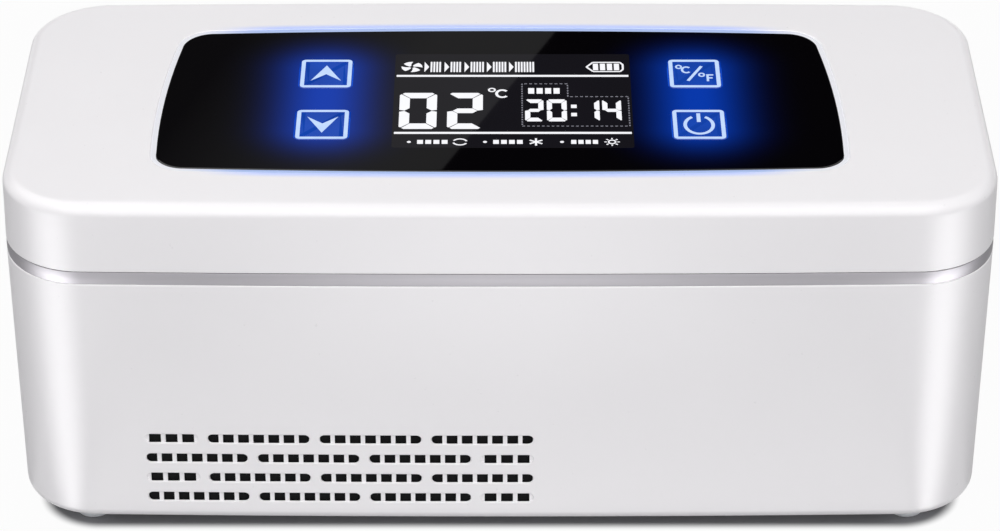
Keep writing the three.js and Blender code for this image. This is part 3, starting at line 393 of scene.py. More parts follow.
@dataclass(frozen=True)
class LitInk(Finish):
    """Clear ink or glass lit from behind, a little uneven as a light guide is.

    Attributes:
        light: Colour of the bright patches, sRGB hex.
        dim_light: Colour of the dim ones.
        strength: Level of the light.
        patch_mm: Size of the patches.
    """

    light: str = "FFFFFF"
    dim_light: str = "D8E4FF"
    strength: float = 1.0
    patch_mm: float = 3.0

    def dress(self, surface: Surface) -> None:
        """Adds the light behind the surface, with soft brighter and dimmer patches.

        Args:
            surface: Material under construction.
        """
        super().dress(surface)
        tree = surface.tree
        size = {"Vector": surface.where, "Scale": 1 / (self.patch_mm * MM)}
        patches = add_node(tree, "ShaderNodeTexNoise", size)
        lights = {"Factor": patches.outputs["Fac"], MIX_A: srgb(self.light), MIX_B: srgb(self.dim_light)}
        mixed = add_node(tree, "ShaderNodeMix", lights, data_type="RGBA")
        surface.drive("Emission Color", mixed.outputs[MIX_RESULT])
        surface.shader.inputs["Emission Strength"].default_value = self.strength


@dataclass(frozen=True)
class EdgeLight(Finish):
    """Clear acrylic frame lit in blue along its long sides, with a pale glow at its ends that is a painted
    highlight.

    Attributes:
        light: Colour along the long sides, sRGB hex.
        painted_end_highlight: Colour of the glow at the ends, a painted highlight in place of the bevel's
            own.
        fade_from: Distance from the middle at which the blue starts to fade.
        fade_to: Distance at which it ends.
    """

    light: str = "9FB4E1"
    # The ends glow pale: a painted highlight standing in for the highlight on the bevel.
    painted_end_highlight: str = "E0E0E5"
    fade_from: float = 52.0
    fade_to: float = 68.0

    def dress(self, surface: Surface) -> None:
        """Adds the blue light, which fades towards the ends into the painted highlight.

        Args:
            surface: Material under construction.
        """
        super().dress(surface)
        tree = surface.tree
        across = add_node(tree, "ShaderNodeSeparateXYZ", {"Vector": surface.where}).outputs["X"]
        away = add_node(tree, "ShaderNodeMath", {0: across}, operation="ABSOLUTE")
        run = {"Value": away.outputs[0], "From Min": self.fade_from * MM, "From Max": self.fade_to * MM}
        fade = add_node(tree, "ShaderNodeMapRange", run, interpolation_type="SMOOTHSTEP")
        lights = {"Factor": fade.outputs["Result"], MIX_A: srgb(self.light), MIX_B: srgb(self.painted_end_highlight)}
        mixed = add_node(tree, "ShaderNodeMix", lights, data_type="RGBA")
        surface.drive("Emission Color", mixed.outputs[MIX_RESULT])
        surface.shader.inputs["Emission Strength"].default_value = 1.0


# Glossy injection-moulded ABS: cool white, a soft sheen, flow clouds that only show in the highlights.
WHITE_ABS = Finish(
    "white_abs_moulded_gloss", "E9E7E9", 0.3, ior=1.53, mottle=0.012, grain_mm=1.2, grain_um=2.0,
)
# Spark-textured ABS on the inside faces: the same white, duller, with a fine sandy grain.
MATT_ABS = Finish(
    "white_abs_moulded_matt", "E4E3E6", 0.48, ior=1.53, mottle=0.015, grain_mm=0.5, grain_um=14.0,
)
# Satin vacuum-plated band: soft silver that blurs what it mirrors, with faint streaks along its length.
PLATED_BAND = Finish(
    "silver_band_satin_plated", "8E8C90", 0.44, metallic=1.0, mottle=0.02, grain_mm=0.25, grain_um=1.5,
    stretch=(40.0, 40.0, 1.0),
)
# Drawn and anodised aluminium: soft grey metal with drawing lines along the tray.
ANODISED_TRAY = Finish(
    "aluminium_drawn_anodised", "BFC3C8", 0.34, metallic=1.0, mottle=0.03, grain_mm=0.4, grain_um=4.0,
    stretch=(30.0, 1.0, 1.0),
)
# Extruded aluminium: the same metal, a little darker, with lines along the extrusion.
EXTRUDED_SINK = Finish(
    "aluminium_extruded", "AEB2B8", 0.4, metallic=1.0, mottle=0.05, grain_mm=0.4, grain_um=6.0,
    stretch=(1.0, 30.0, 1.0),
)
# Moulded silicone seal: dull cool grey with a slight bloom.
SILICONE = Finish(
    "silicone_moulded", "B3B5B8", 0.62, ior=1.41, mottle=0.05, mottle_mm=9.0, translucency=0.2,
)
# Cast clear polyurethane feet: milky and half clear.
CLEAR_PAD = Finish(
    "polyurethane_cast_clear", "DDE0E3", 0.3, ior=1.46, mottle=0.03, mottle_mm=4.0, translucency=0.5,
)
# Cut closed-cell foam: charcoal with open pores.
FOAM = Finish(
    "polyethylene_foam_cut", "46474A", 0.9, mottle=0.2, mottle_mm=2.0, grain_mm=0.8, grain_um=120.0,
)
# Fired alumina plates of the module: chalky white.
CERAMIC = Finish("alumina_fired", "EFEEE6", 0.55, ior=1.7, mottle=0.03, mottle_mm=6.0)
# Moulded glass-filled nylon of the fan, holder and socket: near-black with a fine matt grain.
BLACK_NYLON = Finish(
    "black_nylon_moulded", "17181A", 0.46, ior=1.53, mottle=0.1, grain_mm=0.4, grain_um=10.0,
)
# Woven polyester gauze behind the outlet: dull black with little mirror light, partly a real gauze and partly
# painted shade for the dark inside of the case; its 0.2 mm threads are drawn coarser so that they show.
GAUZE_PAINTED_SHADE = Finish(
    "polyester_gauze_painted_shade", "080809", 0.85, mottle=0.3, mottle_mm=0.8, grain_mm=0.5, grain_um=60.0,
    stretch=(1.0, 1.0, 3.0), specular=0.12,
)
# Shrink-wrapped cell sleeve: smooth green film.
CELL_SLEEVE = Finish("pvc_sleeve_shrunk", "2F7D4F", 0.3, ior=1.54, mottle=0.05, mottle_mm=12.0)
# Solder-masked glass-fibre board: deep green over a faint weave.
CIRCUIT_BOARD = Finish(
    "glass_fibre_board_masked", "0F5A36", 0.38, ior=1.5, mottle=0.18, mottle_mm=1.2, grain_um=8.0,
)
# Zinc-plated steel screws and pins: bright, slightly clouded grey.
PLATED_STEEL = Finish("steel_zinc_plated", "A3A6AB", 0.28, metallic=1.0, mottle=0.06, mottle_mm=3.0)
# Nickel-plated magnets: warm bright metal.
NICKEL = Finish("magnet_nickel_plated", "CFCDC6", 0.2, metallic=1.0, mottle=0.03, mottle_mm=4.0)
# Float glass of the display under the panel: dark and polished.
DISPLAY_GLASS = Finish("glass_float_dark", "2A2C33", 0.06, ior=1.52, mottle=0.04)
# Moulded diffuser sheet of the display light: milky and matt.
DIFFUSER = Finish("polycarbonate_diffuser", "DFE6EE", 0.6, ior=1.58, mottle=0.03)
# Smoked acrylic, cast and polished, printed black behind: a near-black mirror, lit blue round the keys.
SMOKED_PANEL = LitAcrylic(
    "smoked_acrylic_polished", "050406", 0.02, ior=1.49, mottle=0.05, grain_um=0.02, gloss_spread=0.005,
)
# Dyed clear acrylic keys lit from below: deep blue, brighter in soft patches.
KEY_ACRYLIC = LitInk(
    "key_acrylic_blue_lit", "0A1C4A", 0.06, ior=1.49, light="1C52C8", dim_light="123C9C", strength=0.8,
    patch_mm=9.0, grain_um=0.2, gloss_spread=0.01,
)
# Clear windows in the print of the keys: pale blue-white light in their signs and frames.
KEY_SIGN = LitInk("print_window_pale_blue", "24324C", 0.2, light="CFE2FC", dim_light="B2CCF4")
# Liquid-crystal cell seen through the panel: a faint grey field that the back light leaks into.
DISPLAY_CELL = LitInk(
    "display_cell_grey", "060608", 0.02, ior=1.49, light="19171D", dim_light="141317", strength=0.8,
    patch_mm=18.0, grain_um=0.02, gloss_spread=0.005,
)
# Open segments of that cell: even white light.
SEGMENT = LitInk("display_segment_white", "3A3A40", 0.2, light="FAFAFC", dim_light="F0F1F6")
# Half-open segments for fine outlines, lit much less.
DIM_SEGMENT = LitInk("display_segment_dim", "6A6A72", 0.2, light="6C6C76", dim_light="4A4A52", strength=0.6)
# Clear acrylic frame round the panel, lit from below: blue along the long sides, with a painted pale
# highlight glowing at the ends.
PANEL_EDGE = EdgeLight("acrylic_edge_lit", "34383F", 0.2, ior=1.49, mottle=0.02)


@dataclass(frozen=True)
class NodeBox:
    """Lowest and highest corner of a frame node, in millimetres."""

    lo: Vector
    hi: Vector

    @classmethod
    def of(cls, node: str) -> NodeBox:
        """Reads the box of a node from the frame."""
        lo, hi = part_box(node)
        return cls(Vector(lo) / MM, Vector(hi) / MM)

    @property
    def size(self) -> Vector:
        """Length of each side."""
        return self.hi - self.lo

    @property
    def middle(self) -> Vector:
        """Centre of the box."""
        return (self.lo + self.hi) / 2


@dataclass(frozen=True)
class Plan:
    """Rounded rectangle seen from above, whose sides may bow outwards.

    Attributes:
        half_x: Half its length, with the bow.
        half_y: Half its depth, with the bow.
        radius: Corner radius.
        bow: Rise of the long sides at their middle.
        side_bow: Rise of the short sides at their middle.
        x: Centre.
        y: Centre.
        taper: How far each short side leans, outwards at the front and inwards at the rear.
    """

    half_x: float
    half_y: float
    radius: float
    bow: float = 0.0
    side_bow: float = 0.0
    x: float = 0.0
    y: float = 0.0
    taper: float = 0.0

    def ring(self, inset: float, steps: Steps = CASE_STEPS) -> Outline:
        """Gives the outline moved inwards by an inset, counter-clockwise.

        Args:
            inset: Distance inwards; negative grows the outline.
            steps: Steps round each corner, along each long side and along each short side.

        Returns:
            Points in millimetres.
        """
        corner_steps, long_steps, short_steps = steps
        corner_x = self.half_x - self.side_bow - self.radius
        corner_y = self.half_y - self.bow - self.radius
        radius = self.radius - inset
        points: Outline = []
        for corner, (sx, sy) in enumerate(((1, 1), (-1, 1), (-1, -1), (1, -1))):
            for step in range(corner_steps + 1):
                angle = (corner + step / corner_steps) * math.pi / 2
                x, y = sx * corner_x + radius * math.cos(angle), sy * corner_y + radius * math.sin(angle)
                points.append((x, y))
            along = corner % 2 == 0
            count = long_steps if along else short_steps
            for step in range(1, count):
                t = 1 - 2 * step / count
                if along:
                    rise = self.bow * (1 - t * t)
                    points.append((sy * t * corner_x, sy * (corner_y + radius + rise)))
                else:
                    rise = self.side_bow * (1 - t * t)
                    points.append((sx * (corner_x + radius + rise), -sx * t * corner_y))
        lean = self.taper / (self.half_x * self.half_y)
        return [(px * (1 - lean * py) + self.x, py + self.y) for px, py in points]


@dataclass(frozen=True, kw_only=True)
class PaintedGlowRim(Finish):
    """Moulded plastic with a painted blue glow along the panel's long sides, standing in for the panel's edge
    light spilling onto it.

    Attributes:
        panel: Plan of the panel.
        light: Colour of the painted glow, sRGB hex.
        tint: Painted blue that the surface takes near the frame.
        strength: Level of the painted glow next to the frame.
        near: Distance from the panel at which the light starts to fade.
        far: Distance at which it ends.
        run_from: Distance from the middle at which it starts to fade along the panel.
        run_to: Distance at which it ends.
    """

    panel: Plan
    light: str = "4A74E8"
    tint: str = "BCC8F2"
    strength: float = 0.16
    near: float = 1.2
    far: float = 3.6
    run_from: float = 46.0
    run_to: float = 64.0

    def dress(self, surface: Surface) -> None:
        """Adds the painted tint and glow, which fade away from the panel and towards its ends.

        Args:
            surface: Material under construction.
        """
        super().dress(surface)
        tree, plan = surface.tree, self.panel
        parts = add_node(tree, "ShaderNodeSeparateXYZ", {"Vector": surface.where})
        away = add_node(tree, "ShaderNodeMath", {0: parts.outputs["X"]}, operation="ABSOLUTE").outputs[0]
        side = (plan.half_x - plan.side_bow - plan.radius) * MM
        share = add_node(tree, "ShaderNodeMath", {0: away, 1: side}, operation="DIVIDE").outputs[0]
        square = add_node(tree, "ShaderNodeMath", {0: share, 1: share}, operation="MULTIPLY").outputs[0]
        middle = {0: parts.outputs["Y"], 1: plan.y * MM}
        offset = add_node(tree, "ShaderNodeMath", middle, operation="SUBTRACT").outputs[0]
        depth = add_node(tree, "ShaderNodeMath", {0: offset}, operation="ABSOLUTE").outputs[0]
        bowed = {0: square, 1: plan.bow * MM, 2: depth}
        reach = add_node(tree, "ShaderNodeMath", bowed, operation="MULTIPLY_ADD").outputs[0]
        falls = []
        for value, start, end, way in (
            (reach, plan.half_y + self.near, plan.half_y + self.far, "SMOOTHERSTEP"),
            (away, self.run_from, self.run_to, "SMOOTHSTEP"),
        ):
            run = {"Value": value, "From Min": start * MM, "From Max": end * MM}
            levels = run | {"To Min": 1.0, "To Max": 0.0}
            fall = add_node(tree, "ShaderNodeMapRange", levels, interpolation_type=way)
            falls.append(fall.outputs["Result"])
        level = add_node(tree, "ShaderNodeMath", dict(enumerate(falls)), operation="MULTIPLY").outputs[0]
        # Painted glow: near the panel's long sides the base colour turns blue and the plastic emits light.
        plain = surface.shader.inputs["Base Color"].links[0].from_socket
        tones = {"Factor": level, MIX_A: plain, MIX_B: srgb(self.tint)}
        mixed = add_node(tree, "ShaderNodeMix", tones, data_type="RGBA")
        surface.drive("Base Color", mixed.outputs[MIX_RESULT])
        surface.shader.inputs["Emission Color"].default_value = srgb(self.light)
        power = add_node(tree, "ShaderNodeMath", {0: level, 1: self.strength}, operation="MULTIPLY")
        surface.drive("Emission Strength", power.outputs[0])


@dataclass(frozen=True)
class Corner:
    """Corner of a wall section: inset from the plan, level, and edge radius."""

    inset: float
    z: float
    radius: float = 0.0


def ease(*corners: Corner, longest: float = math.inf, steps: int = 6) -> Outline:
    """Rounds the corners of an open wall section.

    Args:
        *corners: Corners in order; the first and last stay sharp.
        longest: Longest straight step, so that flats are not one long face.
        steps: Steps round each edge.

    Returns:
        Pairs of inset and level.
    """
    path = [Vector((corners[0].inset, corners[0].z))]
    for before, corner, after in zip(corners, corners[1:], corners[2:]):
        at = Vector((corner.inset, corner.z))
        if corner.radius <= 0:
            path.append(at)
            continue
        back = (Vector((before.inset, before.z)) - at).normalized()
        ahead = (Vector((after.inset, after.z)) - at).normalized()
        half = back.angle(ahead) / 2
        reach = corner.radius / math.tan(half)
        centre = at + (back + ahead).normalized() * (corner.radius / math.sin(half))
        start = at + back * reach - centre
        end = at + ahead * reach - centre
        turn = start.angle(end)
        for step in range(steps + 1):
            t = step / steps
            first, last = math.sin((1 - t) * turn), math.sin(t * turn)
            path.append(centre + (start * first + end * last) / math.sin(turn))
    path.append(Vector((corners[-1].inset, corners[-1].z)))
    fine: Outline = [(path[0].x, path[0].y)]
    for a, b in zip(path, path[1:]):
        parts = max(1, math.ceil((b - a).length / longest))
        points = [a + (b - a) * (part / parts) for part in range(1, parts + 1)]
        fine.extend((point.x, point.y) for point in points)
    return fine


class Shape:
    """Mesh under construction, in millimetres."""

    def __init__(self) -> None:
        """Starts an empty mesh."""
        self.bm = bmesh.new()

    def loft(self, rings: Sequence[Sequence[Sequence[float]]], closed: bool = False) -> None:
        """Skins rings of equal count.

        Args:
            rings: Points of each ring.
            closed: True joins the last ring to the first; otherwise both ends are capped.
        """
        made = [[self.bm.verts.new(Vector(point) * MM) for point in ring] for ring in rings]
        pairs = list(zip(made, made[1:]))
        if closed:
            pairs.append((made[-1], made[0]))
        for low, high in pairs:
            for i, vert in enumerate(low):
                j = (i + 1) % len(low)
                self.bm.faces.new((vert, low[j], high[j], high[i]))
        if not closed:
            self.bm.faces.new(list(reversed(made[0])))
            self.bm.faces.new(made[-1])

    def wall(
        self, plan: Plan, section: Sequence[Point], closed: bool = False, steps: Steps = CASE_STEPS
    ) -> None:
        """Sweeps a section in pairs of inset and level round a plan; a closed one meets its start."""
        self.loft([[(x, y, z) for x, y in plan.ring(inset, steps)] for inset, z in section], closed)

    def prism(self, outline: Sequence[Point], z0: float, z1: float) -> None:
        """Adds an upright prism on a plan outline, from one level to another."""
        self.loft([[(x, y, z) for x, y in outline] for z in (z0, z1)])

    def bar(self, outline: Sequence[Point], x0: float, x1: float) -> None:
        """Adds a bar along X from a section in pairs of Y and Z, from one end to another."""
        self.loft([[(x, y, z) for y, z in outline] for x in (x0, x1)])

    def done(self, name: str) -> Piece:
        """Makes the object.

        Args:
            name: Object name.

        Returns:
            The linked object.
        """
        bmesh.ops.recalc_face_normals(self.bm, faces=self.bm.faces)
        shade(self.bm)
        mesh = bpy.data.meshes.new(name)
        self.bm.to_mesh(mesh)
        self.bm.free()
        return link(name, mesh)


def link(name: str, mesh: bpy.types.Mesh) -> Piece:
    """Puts a mesh into the scene.

    Args:
        name: Object name.
        mesh: Finished mesh.

    Returns:
        The object.
    """
    made = bpy.data.objects.new(name, mesh)
    bpy.context.scene.collection.objects.link(made)
    return made


def shade(bm: bmesh.types.BMesh) -> None:
    """Smooths all faces of a mesh and keeps its steep edges sharp.

    Args:
        bm: Mesh to shade.
    """
    limit = math.radians(SHARP)
    for face in bm.faces:
        face.smooth = True
    for edge in bm.edges:
        edge.smooth = len(edge.link_faces) == 2 and edge.calc_face_angle(0.0) < limit


def combine(target: Piece, tool: Piece, way: Combine) -> None:
    """Cuts a solid by another, or joins them, and removes the second.

    Args:
        target: Solid that stays.
        tool: Solid that is used up.
        way: Cut or join.
    """
    change = target.modifiers.new("combine", "BOOLEAN")
    change.object = tool
    change.operation = way.value
    change.solver = "EXACT"
    graph = bpy.context.evaluated_depsgraph_get()
    mesh = bpy.data.meshes.new_from_object(target.evaluated_get(graph))
    target.modifiers.clear()
    old, target.data = target.data, mesh
    bpy.data.meshes.remove(old)
    tool_mesh = tool.data
    bpy.data.objects.remove(tool)
    bpy.data.meshes.remove(tool_mesh)
    bm = bmesh.new()
    bm.from_mesh(mesh)
    bmesh.ops.remove_doubles(bm, verts=bm.verts, dist=CUT_WELD)
    bmesh.ops.dissolve_degenerate(bm, edges=bm.edges, dist=CUT_WELD)
    shade(bm)
    bm.to_mesh(mesh)
    bm.free()
    mesh.name = target.name


def weigh_normals(piece: Piece) -> None:
    """Lets large faces rule the shading, so that flats stay flat beside their rounded edges.

    Args:
        piece: Piece to shade.
    """
    weigh = piece.modifiers.new("flat_faces", "WEIGHTED_NORMAL")
    weigh.keep_sharp = True
    weigh.weight = FLAT_WEIGHT


def place(piece: Piece, body: Body, finish: Finish, nodes: Sequence[str] = ()) -> None:
    """Dresses a piece and fixes it to its body.

    Args:
        piece: Finished piece.
        body: Body that carries it.
        finish: Its material.
        nodes: Frame nodes that it stands for.
    """
    piece.data.materials.clear()
    piece.data.materials.append(finish.material())
    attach(piece, body.value)
    if nodes:
        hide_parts(*nodes)
    LOG.info("%s on %s in %s", piece.name, body.value, finish.name)


def place_eased(
    nodes: Nodes, node: str, name: str, edge: float, body: Body, finish: Finish
) -> None:
    """Puts a copy of a frame solid in its place, with its coplanar facets joined and its edges rounded.

    Args:
        nodes: The frame's solids by node.
        node: Node that the copy stands for.
        name: Name of the copy.
        edge: Edge rounding.
        body: Body that carries it.
        finish: Its material.
    """
    bm = bmesh.new()
    bm.from_mesh(nodes[node].data)
    bmesh.ops.remove_doubles(bm, verts=bm.verts, dist=NODE_WELD)
    limit = math.radians(FLAT_ANGLE)
    bmesh.ops.dissolve_limit(
        bm, angle_limit=limit, verts=bm.verts, edges=bm.edges, use_dissolve_boundaries=False
    )
    for face in bm.faces:
        face.smooth = True
    mesh = bpy.data.meshes.new(name)
    bm.to_mesh(mesh)
    bm.free()
    made = link(name, mesh)
    bevel = made.modifiers.new("eased_edges", "BEVEL")
    bevel.width = edge * MM
    bevel.segments = 2
    bevel.limit_method = "ANGLE"
    bevel.angle_limit = math.radians(EASED_ANGLE)
    bevel.harden_normals = True
    place(made, body, finish, [node])


def arc(x: float, y: float, radius: float, start: float, end: float, steps: int) -> Outline:
    """Gives the points of an arc about a centre, between two angles in radians."""
    turns = [start + (end - start) * step / steps for step in range(steps + 1)]
    return [(x + radius * math.cos(turn), y + radius * math.sin(turn)) for turn in turns]


def circle(x: float, y: float, radius: float, steps: int = 48) -> Outline:
    """Gives the points of a circle, counter-clockwise."""
    return arc(x, y, radius, 0.0, 2 * math.pi, steps)[:-1]


def half_turn(step: int) -> list[float]:
    """Gives the angles from -90 to 90 degrees, a step in degrees apart, in radians."""
    return [math.radians(angle) for angle in range(-90, 91, step)]


@dataclass
class CaseForm:
    """Outer form that the body, the band and the lid share.

    Attributes:
        radius: Corner radius of the plan.
        bow: Rise of the front and rear faces at their middle.
        taper: How far the body's walls lean inwards down to the base.
        body, band, lid: Boxes of those pieces.
    """

    radius: float = 17.0
    bow: float = 0.9
    taper: float = 0.6
    body: NodeBox = field(default_factory=lambda: NodeBox.of("body_shell"))
    band: NodeBox = field(default_factory=lambda: NodeBox.of("trim_band"))
    lid: NodeBox = field(default_factory=lambda: NodeBox.of("lid_shell"))

    @property
    def plan(self) -> Plan:
        """Plan of the case at the band."""
        return Plan(self.band.size.x / 2, self.band.size.y / 2, self.radius, self.bow)

    def face(self, x: float, z: float) -> float:
        """Measures how far the front and rear faces of the body lie from its middle.

        Args:
            x: Place along the body.
            z: Level.

        Returns:
            Distance from the middle.
        """
        reach = self.plan.half_x - self.radius
        lean = self.taper * max(0.0, self.band.lo.z - z) / (self.band.lo.z - self.body.lo.z)
        return self.plan.half_y - lean - self.bow * min(1.0, (x / reach) ** 2)


@dataclass(frozen=True)
class Slot:
    """One capsule slot of the outlet and the cells that its ribs leave.

    Attributes:
        cells: Number of open cells.
        pitch: Distance from cell to cell.
        rib: Width of the ribs between the cells.
        land: Closed length at each end; without one the end cells are round.
    """

    cells: int
    pitch: float
    rib: float
    land: float

    @property
    def length(self) -> float:
        """Length of the capsule."""
        return self.cells * self.pitch - self.rib + 2 * self.land

    def cell(self, start: float, number: int) -> Point:
        """Gives the left and right edge of one cell, where the slot starts at a place."""
        left = start + self.land + number * self.pitch
        return (left, left + self.pitch - self.rib)


@dataclass
class Outlet:
    """Front air outlet: rows of capsule slots with ribs that stand back from the face."""

    form: CaseForm
    inset: float = 28.1
    lift: float = 6.0
    rows: int = 4
    row_pitch: float = 4.96
    height: float = 2.1
    gap: float = 2.1
    setback: float = 0.4
    mouth: float = 0.28
    mouth_start: float = 15.0
    mouth_steps: int = 4
    lead: float = 0.15
    end_step: int = 15
    side_steps: int = 5
    cell_height: float = 2.02
    cell_step: int = 18
    overlap: float = 0.25
    flare: float = 2.3
    depth: float = 4.2
    rib_back: float = 0.75
    pocket_margin: float = 1.5
    gauze_margin: float = 1.0
    gauze_gap: float = 0.03
    gauze: float = 0.4
    sheet_steps: int = 40
    long_slot: Slot = Slot(7, 3.18, 0.9, 0.0)
    short_slot: Slot = Slot(3, 3.48, 0.97, 0.77)
    long_slots: int = 3

    def slots(self) -> list[tuple[Slot, float, float]]:
        """Lays out the slots; the short one changes ends from row to row.

        Returns:
            Each slot with its left end and the level of its middle.
        """
        found: list[tuple[Slot, float, float]] = []
        for row in range(self.rows):
            kinds = [self.long_slot] * self.long_slots
            kinds.insert(self.long_slots if row % 2 == 0 else 0, self.short_slot)
            x = self.inset - self.form.plan.half_x
            for kind in kinds:
                found.append((kind, x, self.form.body.lo.z + self.lift + row * self.row_pitch))
                x += kind.length + self.gap
        return found

    def capsule(self, x0: float, x1: float, z: float, grow: float) -> Outline:
        """Gives a capsule outline on the front face as pairs of X and Z.

        Args:
            x0: Left end.
            x1: Right end.
            z: Level of its middle.
            grow: Distance outwards.

        Returns:
            Points, counter-clockwise.
        """
        radius = self.height / 2
        left, right = x0 + radius, x1 - radius
        reach = radius + grow
        turns = half_turn(self.end_step)
        shares = [step / self.side_steps for step in range(1, self.side_steps)]
        points = [(right + reach * math.cos(turn), z + reach * math.sin(turn)) for turn in turns]
        points += [(right + (left - right) * share, z + reach) for share in shares]
        points += [(left - reach * math.cos(turn), z - reach * math.sin(turn)) for turn in turns]
        points += [(left + (right - left) * share, z - reach) for share in shares]
        return points

    def recess_tool(self) -> Piece:
        """Makes the tool for the capsule recesses, with rounded mouths that follow the bowed face.

        Returns:
            The linked tool.
        """
        start = math.radians(self.mouth_start)
        span = math.pi / 2 - start
        turns = [start + span * step / self.mouth_steps for step in range(self.mouth_steps + 1)]
        sections = [(self.mouth * (1 - math.sin(turn)), self.mouth * (1 - math.cos(turn))) for turn in turns]
        first, first_depth = sections[0]
        sections.insert(0, (first + (self.lead + first_depth) / math.tan(start), -self.lead))
        sections.append((0.0, self.setback))
        shape = Shape()
        for kind, x0, z0 in self.slots():
            rings = []
            for grow, depth in sections:
                outline = self.capsule(x0, x0 + kind.length, z0, grow)
                rings.append([(x, depth - self.form.face(x, z), z) for x, z in outline])
            shape.loft(rings)
        return shape.done("outlet_recesses")

    def cell_outline(self, kind: Slot, start: float, number: int, z: float) -> Outline:
        """Gives the outline of one open cell as pairs of X and Z.

        Args:
            kind: Slot that holds it.
            start: Left end of the slot.
            number: Number of the cell.
            z: Level of its middle.

        Returns:
            Points, counter-clockwise.
        """
        half, turns = self.cell_height / 2, half_turn(self.cell_step)
        left, right = kind.cell(start, number)
        if number == kind.cells - 1 and kind.land == 0:
            centre = start + kind.length - self.height / 2
            outline = [(centre + half * math.cos(turn), z + half * math.sin(turn)) for turn in turns]
        else:
            outline = [(right, z - half), (right, z + half)]
        if number == 0 and kind.land == 0:
            centre = start + self.height / 2
            outline += [(centre - half * math.cos(turn), z - half * math.sin(turn)) for turn in turns]
        else:
            outline += [(left, z + half), (left, z - half)]
        return outline

    def cell_tool(self) -> Piece:
        """Makes the tool for the open cells between the ribs, whose lower walls fall away inwards.

        Returns:
            The linked tool.
        """
        shape = Shape()
        for kind, start, z in self.slots():
            for number in range(kind.cells):
                outline = self.cell_outline(kind, start, number, z)
                front = -self.form.face(sum(kind.cell(start, number)) / 2, z)
                near, far = front + self.setback - self.overlap, front + self.depth
                back = [(px, pz - self.flare if pz < z else pz) for px, pz in outline]
                shape.loft([[(px, near, pz) for px, pz in outline], [(px, far, pz) for px, pz in back]])
        return shape.done("outlet_cells")

    def sheet(self, name: str, margin: float, near: float, far: float) -> Piece:
        """Makes a sheet behind all the slots that follows the bowed face.

        Args:
            name: Object name.
            margin: How far it reaches past the slots.
            near: Depth of its front behind the face.
            far: Depth of its back behind the face.

        Returns:
            The linked sheet.
        """
        slots = self.slots()
        left = min(x for _, x, _ in slots) - margin
        right = max(x + kind.length for kind, x, _ in slots) + margin
        low = slots[0][2] - self.height / 2 - margin
        high = slots[-1][2] + self.height / 2 + margin
        corners = ((near, low), (near, high), (far, high), (far, low))
        sections = []
        for step in range(self.sheet_steps + 1):
            x = left + (right - left) * step / self.sheet_steps
            sections.append([(x, depth - self.form.face(x, z), z) for depth, z in corners])
        shape = Shape()
        shape.loft(sections)
        return shape.done(name)

    def build(self, moulding: Piece) -> None:
        """Opens the outlet in a moulding, thins the wall behind the ribs and hangs the dark gauze there,
        whose near-black is painted shade for the dark inside.

        Args:
            moulding: The body's moulding.
        """
        combine(moulding, self.recess_tool(), Combine.CUT)
        combine(moulding, self.cell_tool(), Combine.CUT)
        pocket = self.sheet("outlet_pocket", self.pocket_margin, self.rib_back, self.depth)
        combine(moulding, pocket, Combine.CUT)
        # The near-black gauze darkens the cells: painted shade for the shadowed inside behind the outlet.
        near = self.rib_back + self.gauze_gap
        gauze = self.sheet("outlet_gauze_painted_shade", self.gauze_margin, near, near + self.gauze)
        place(gauze, Body.CASE, GAUZE_PAINTED_SHADE)


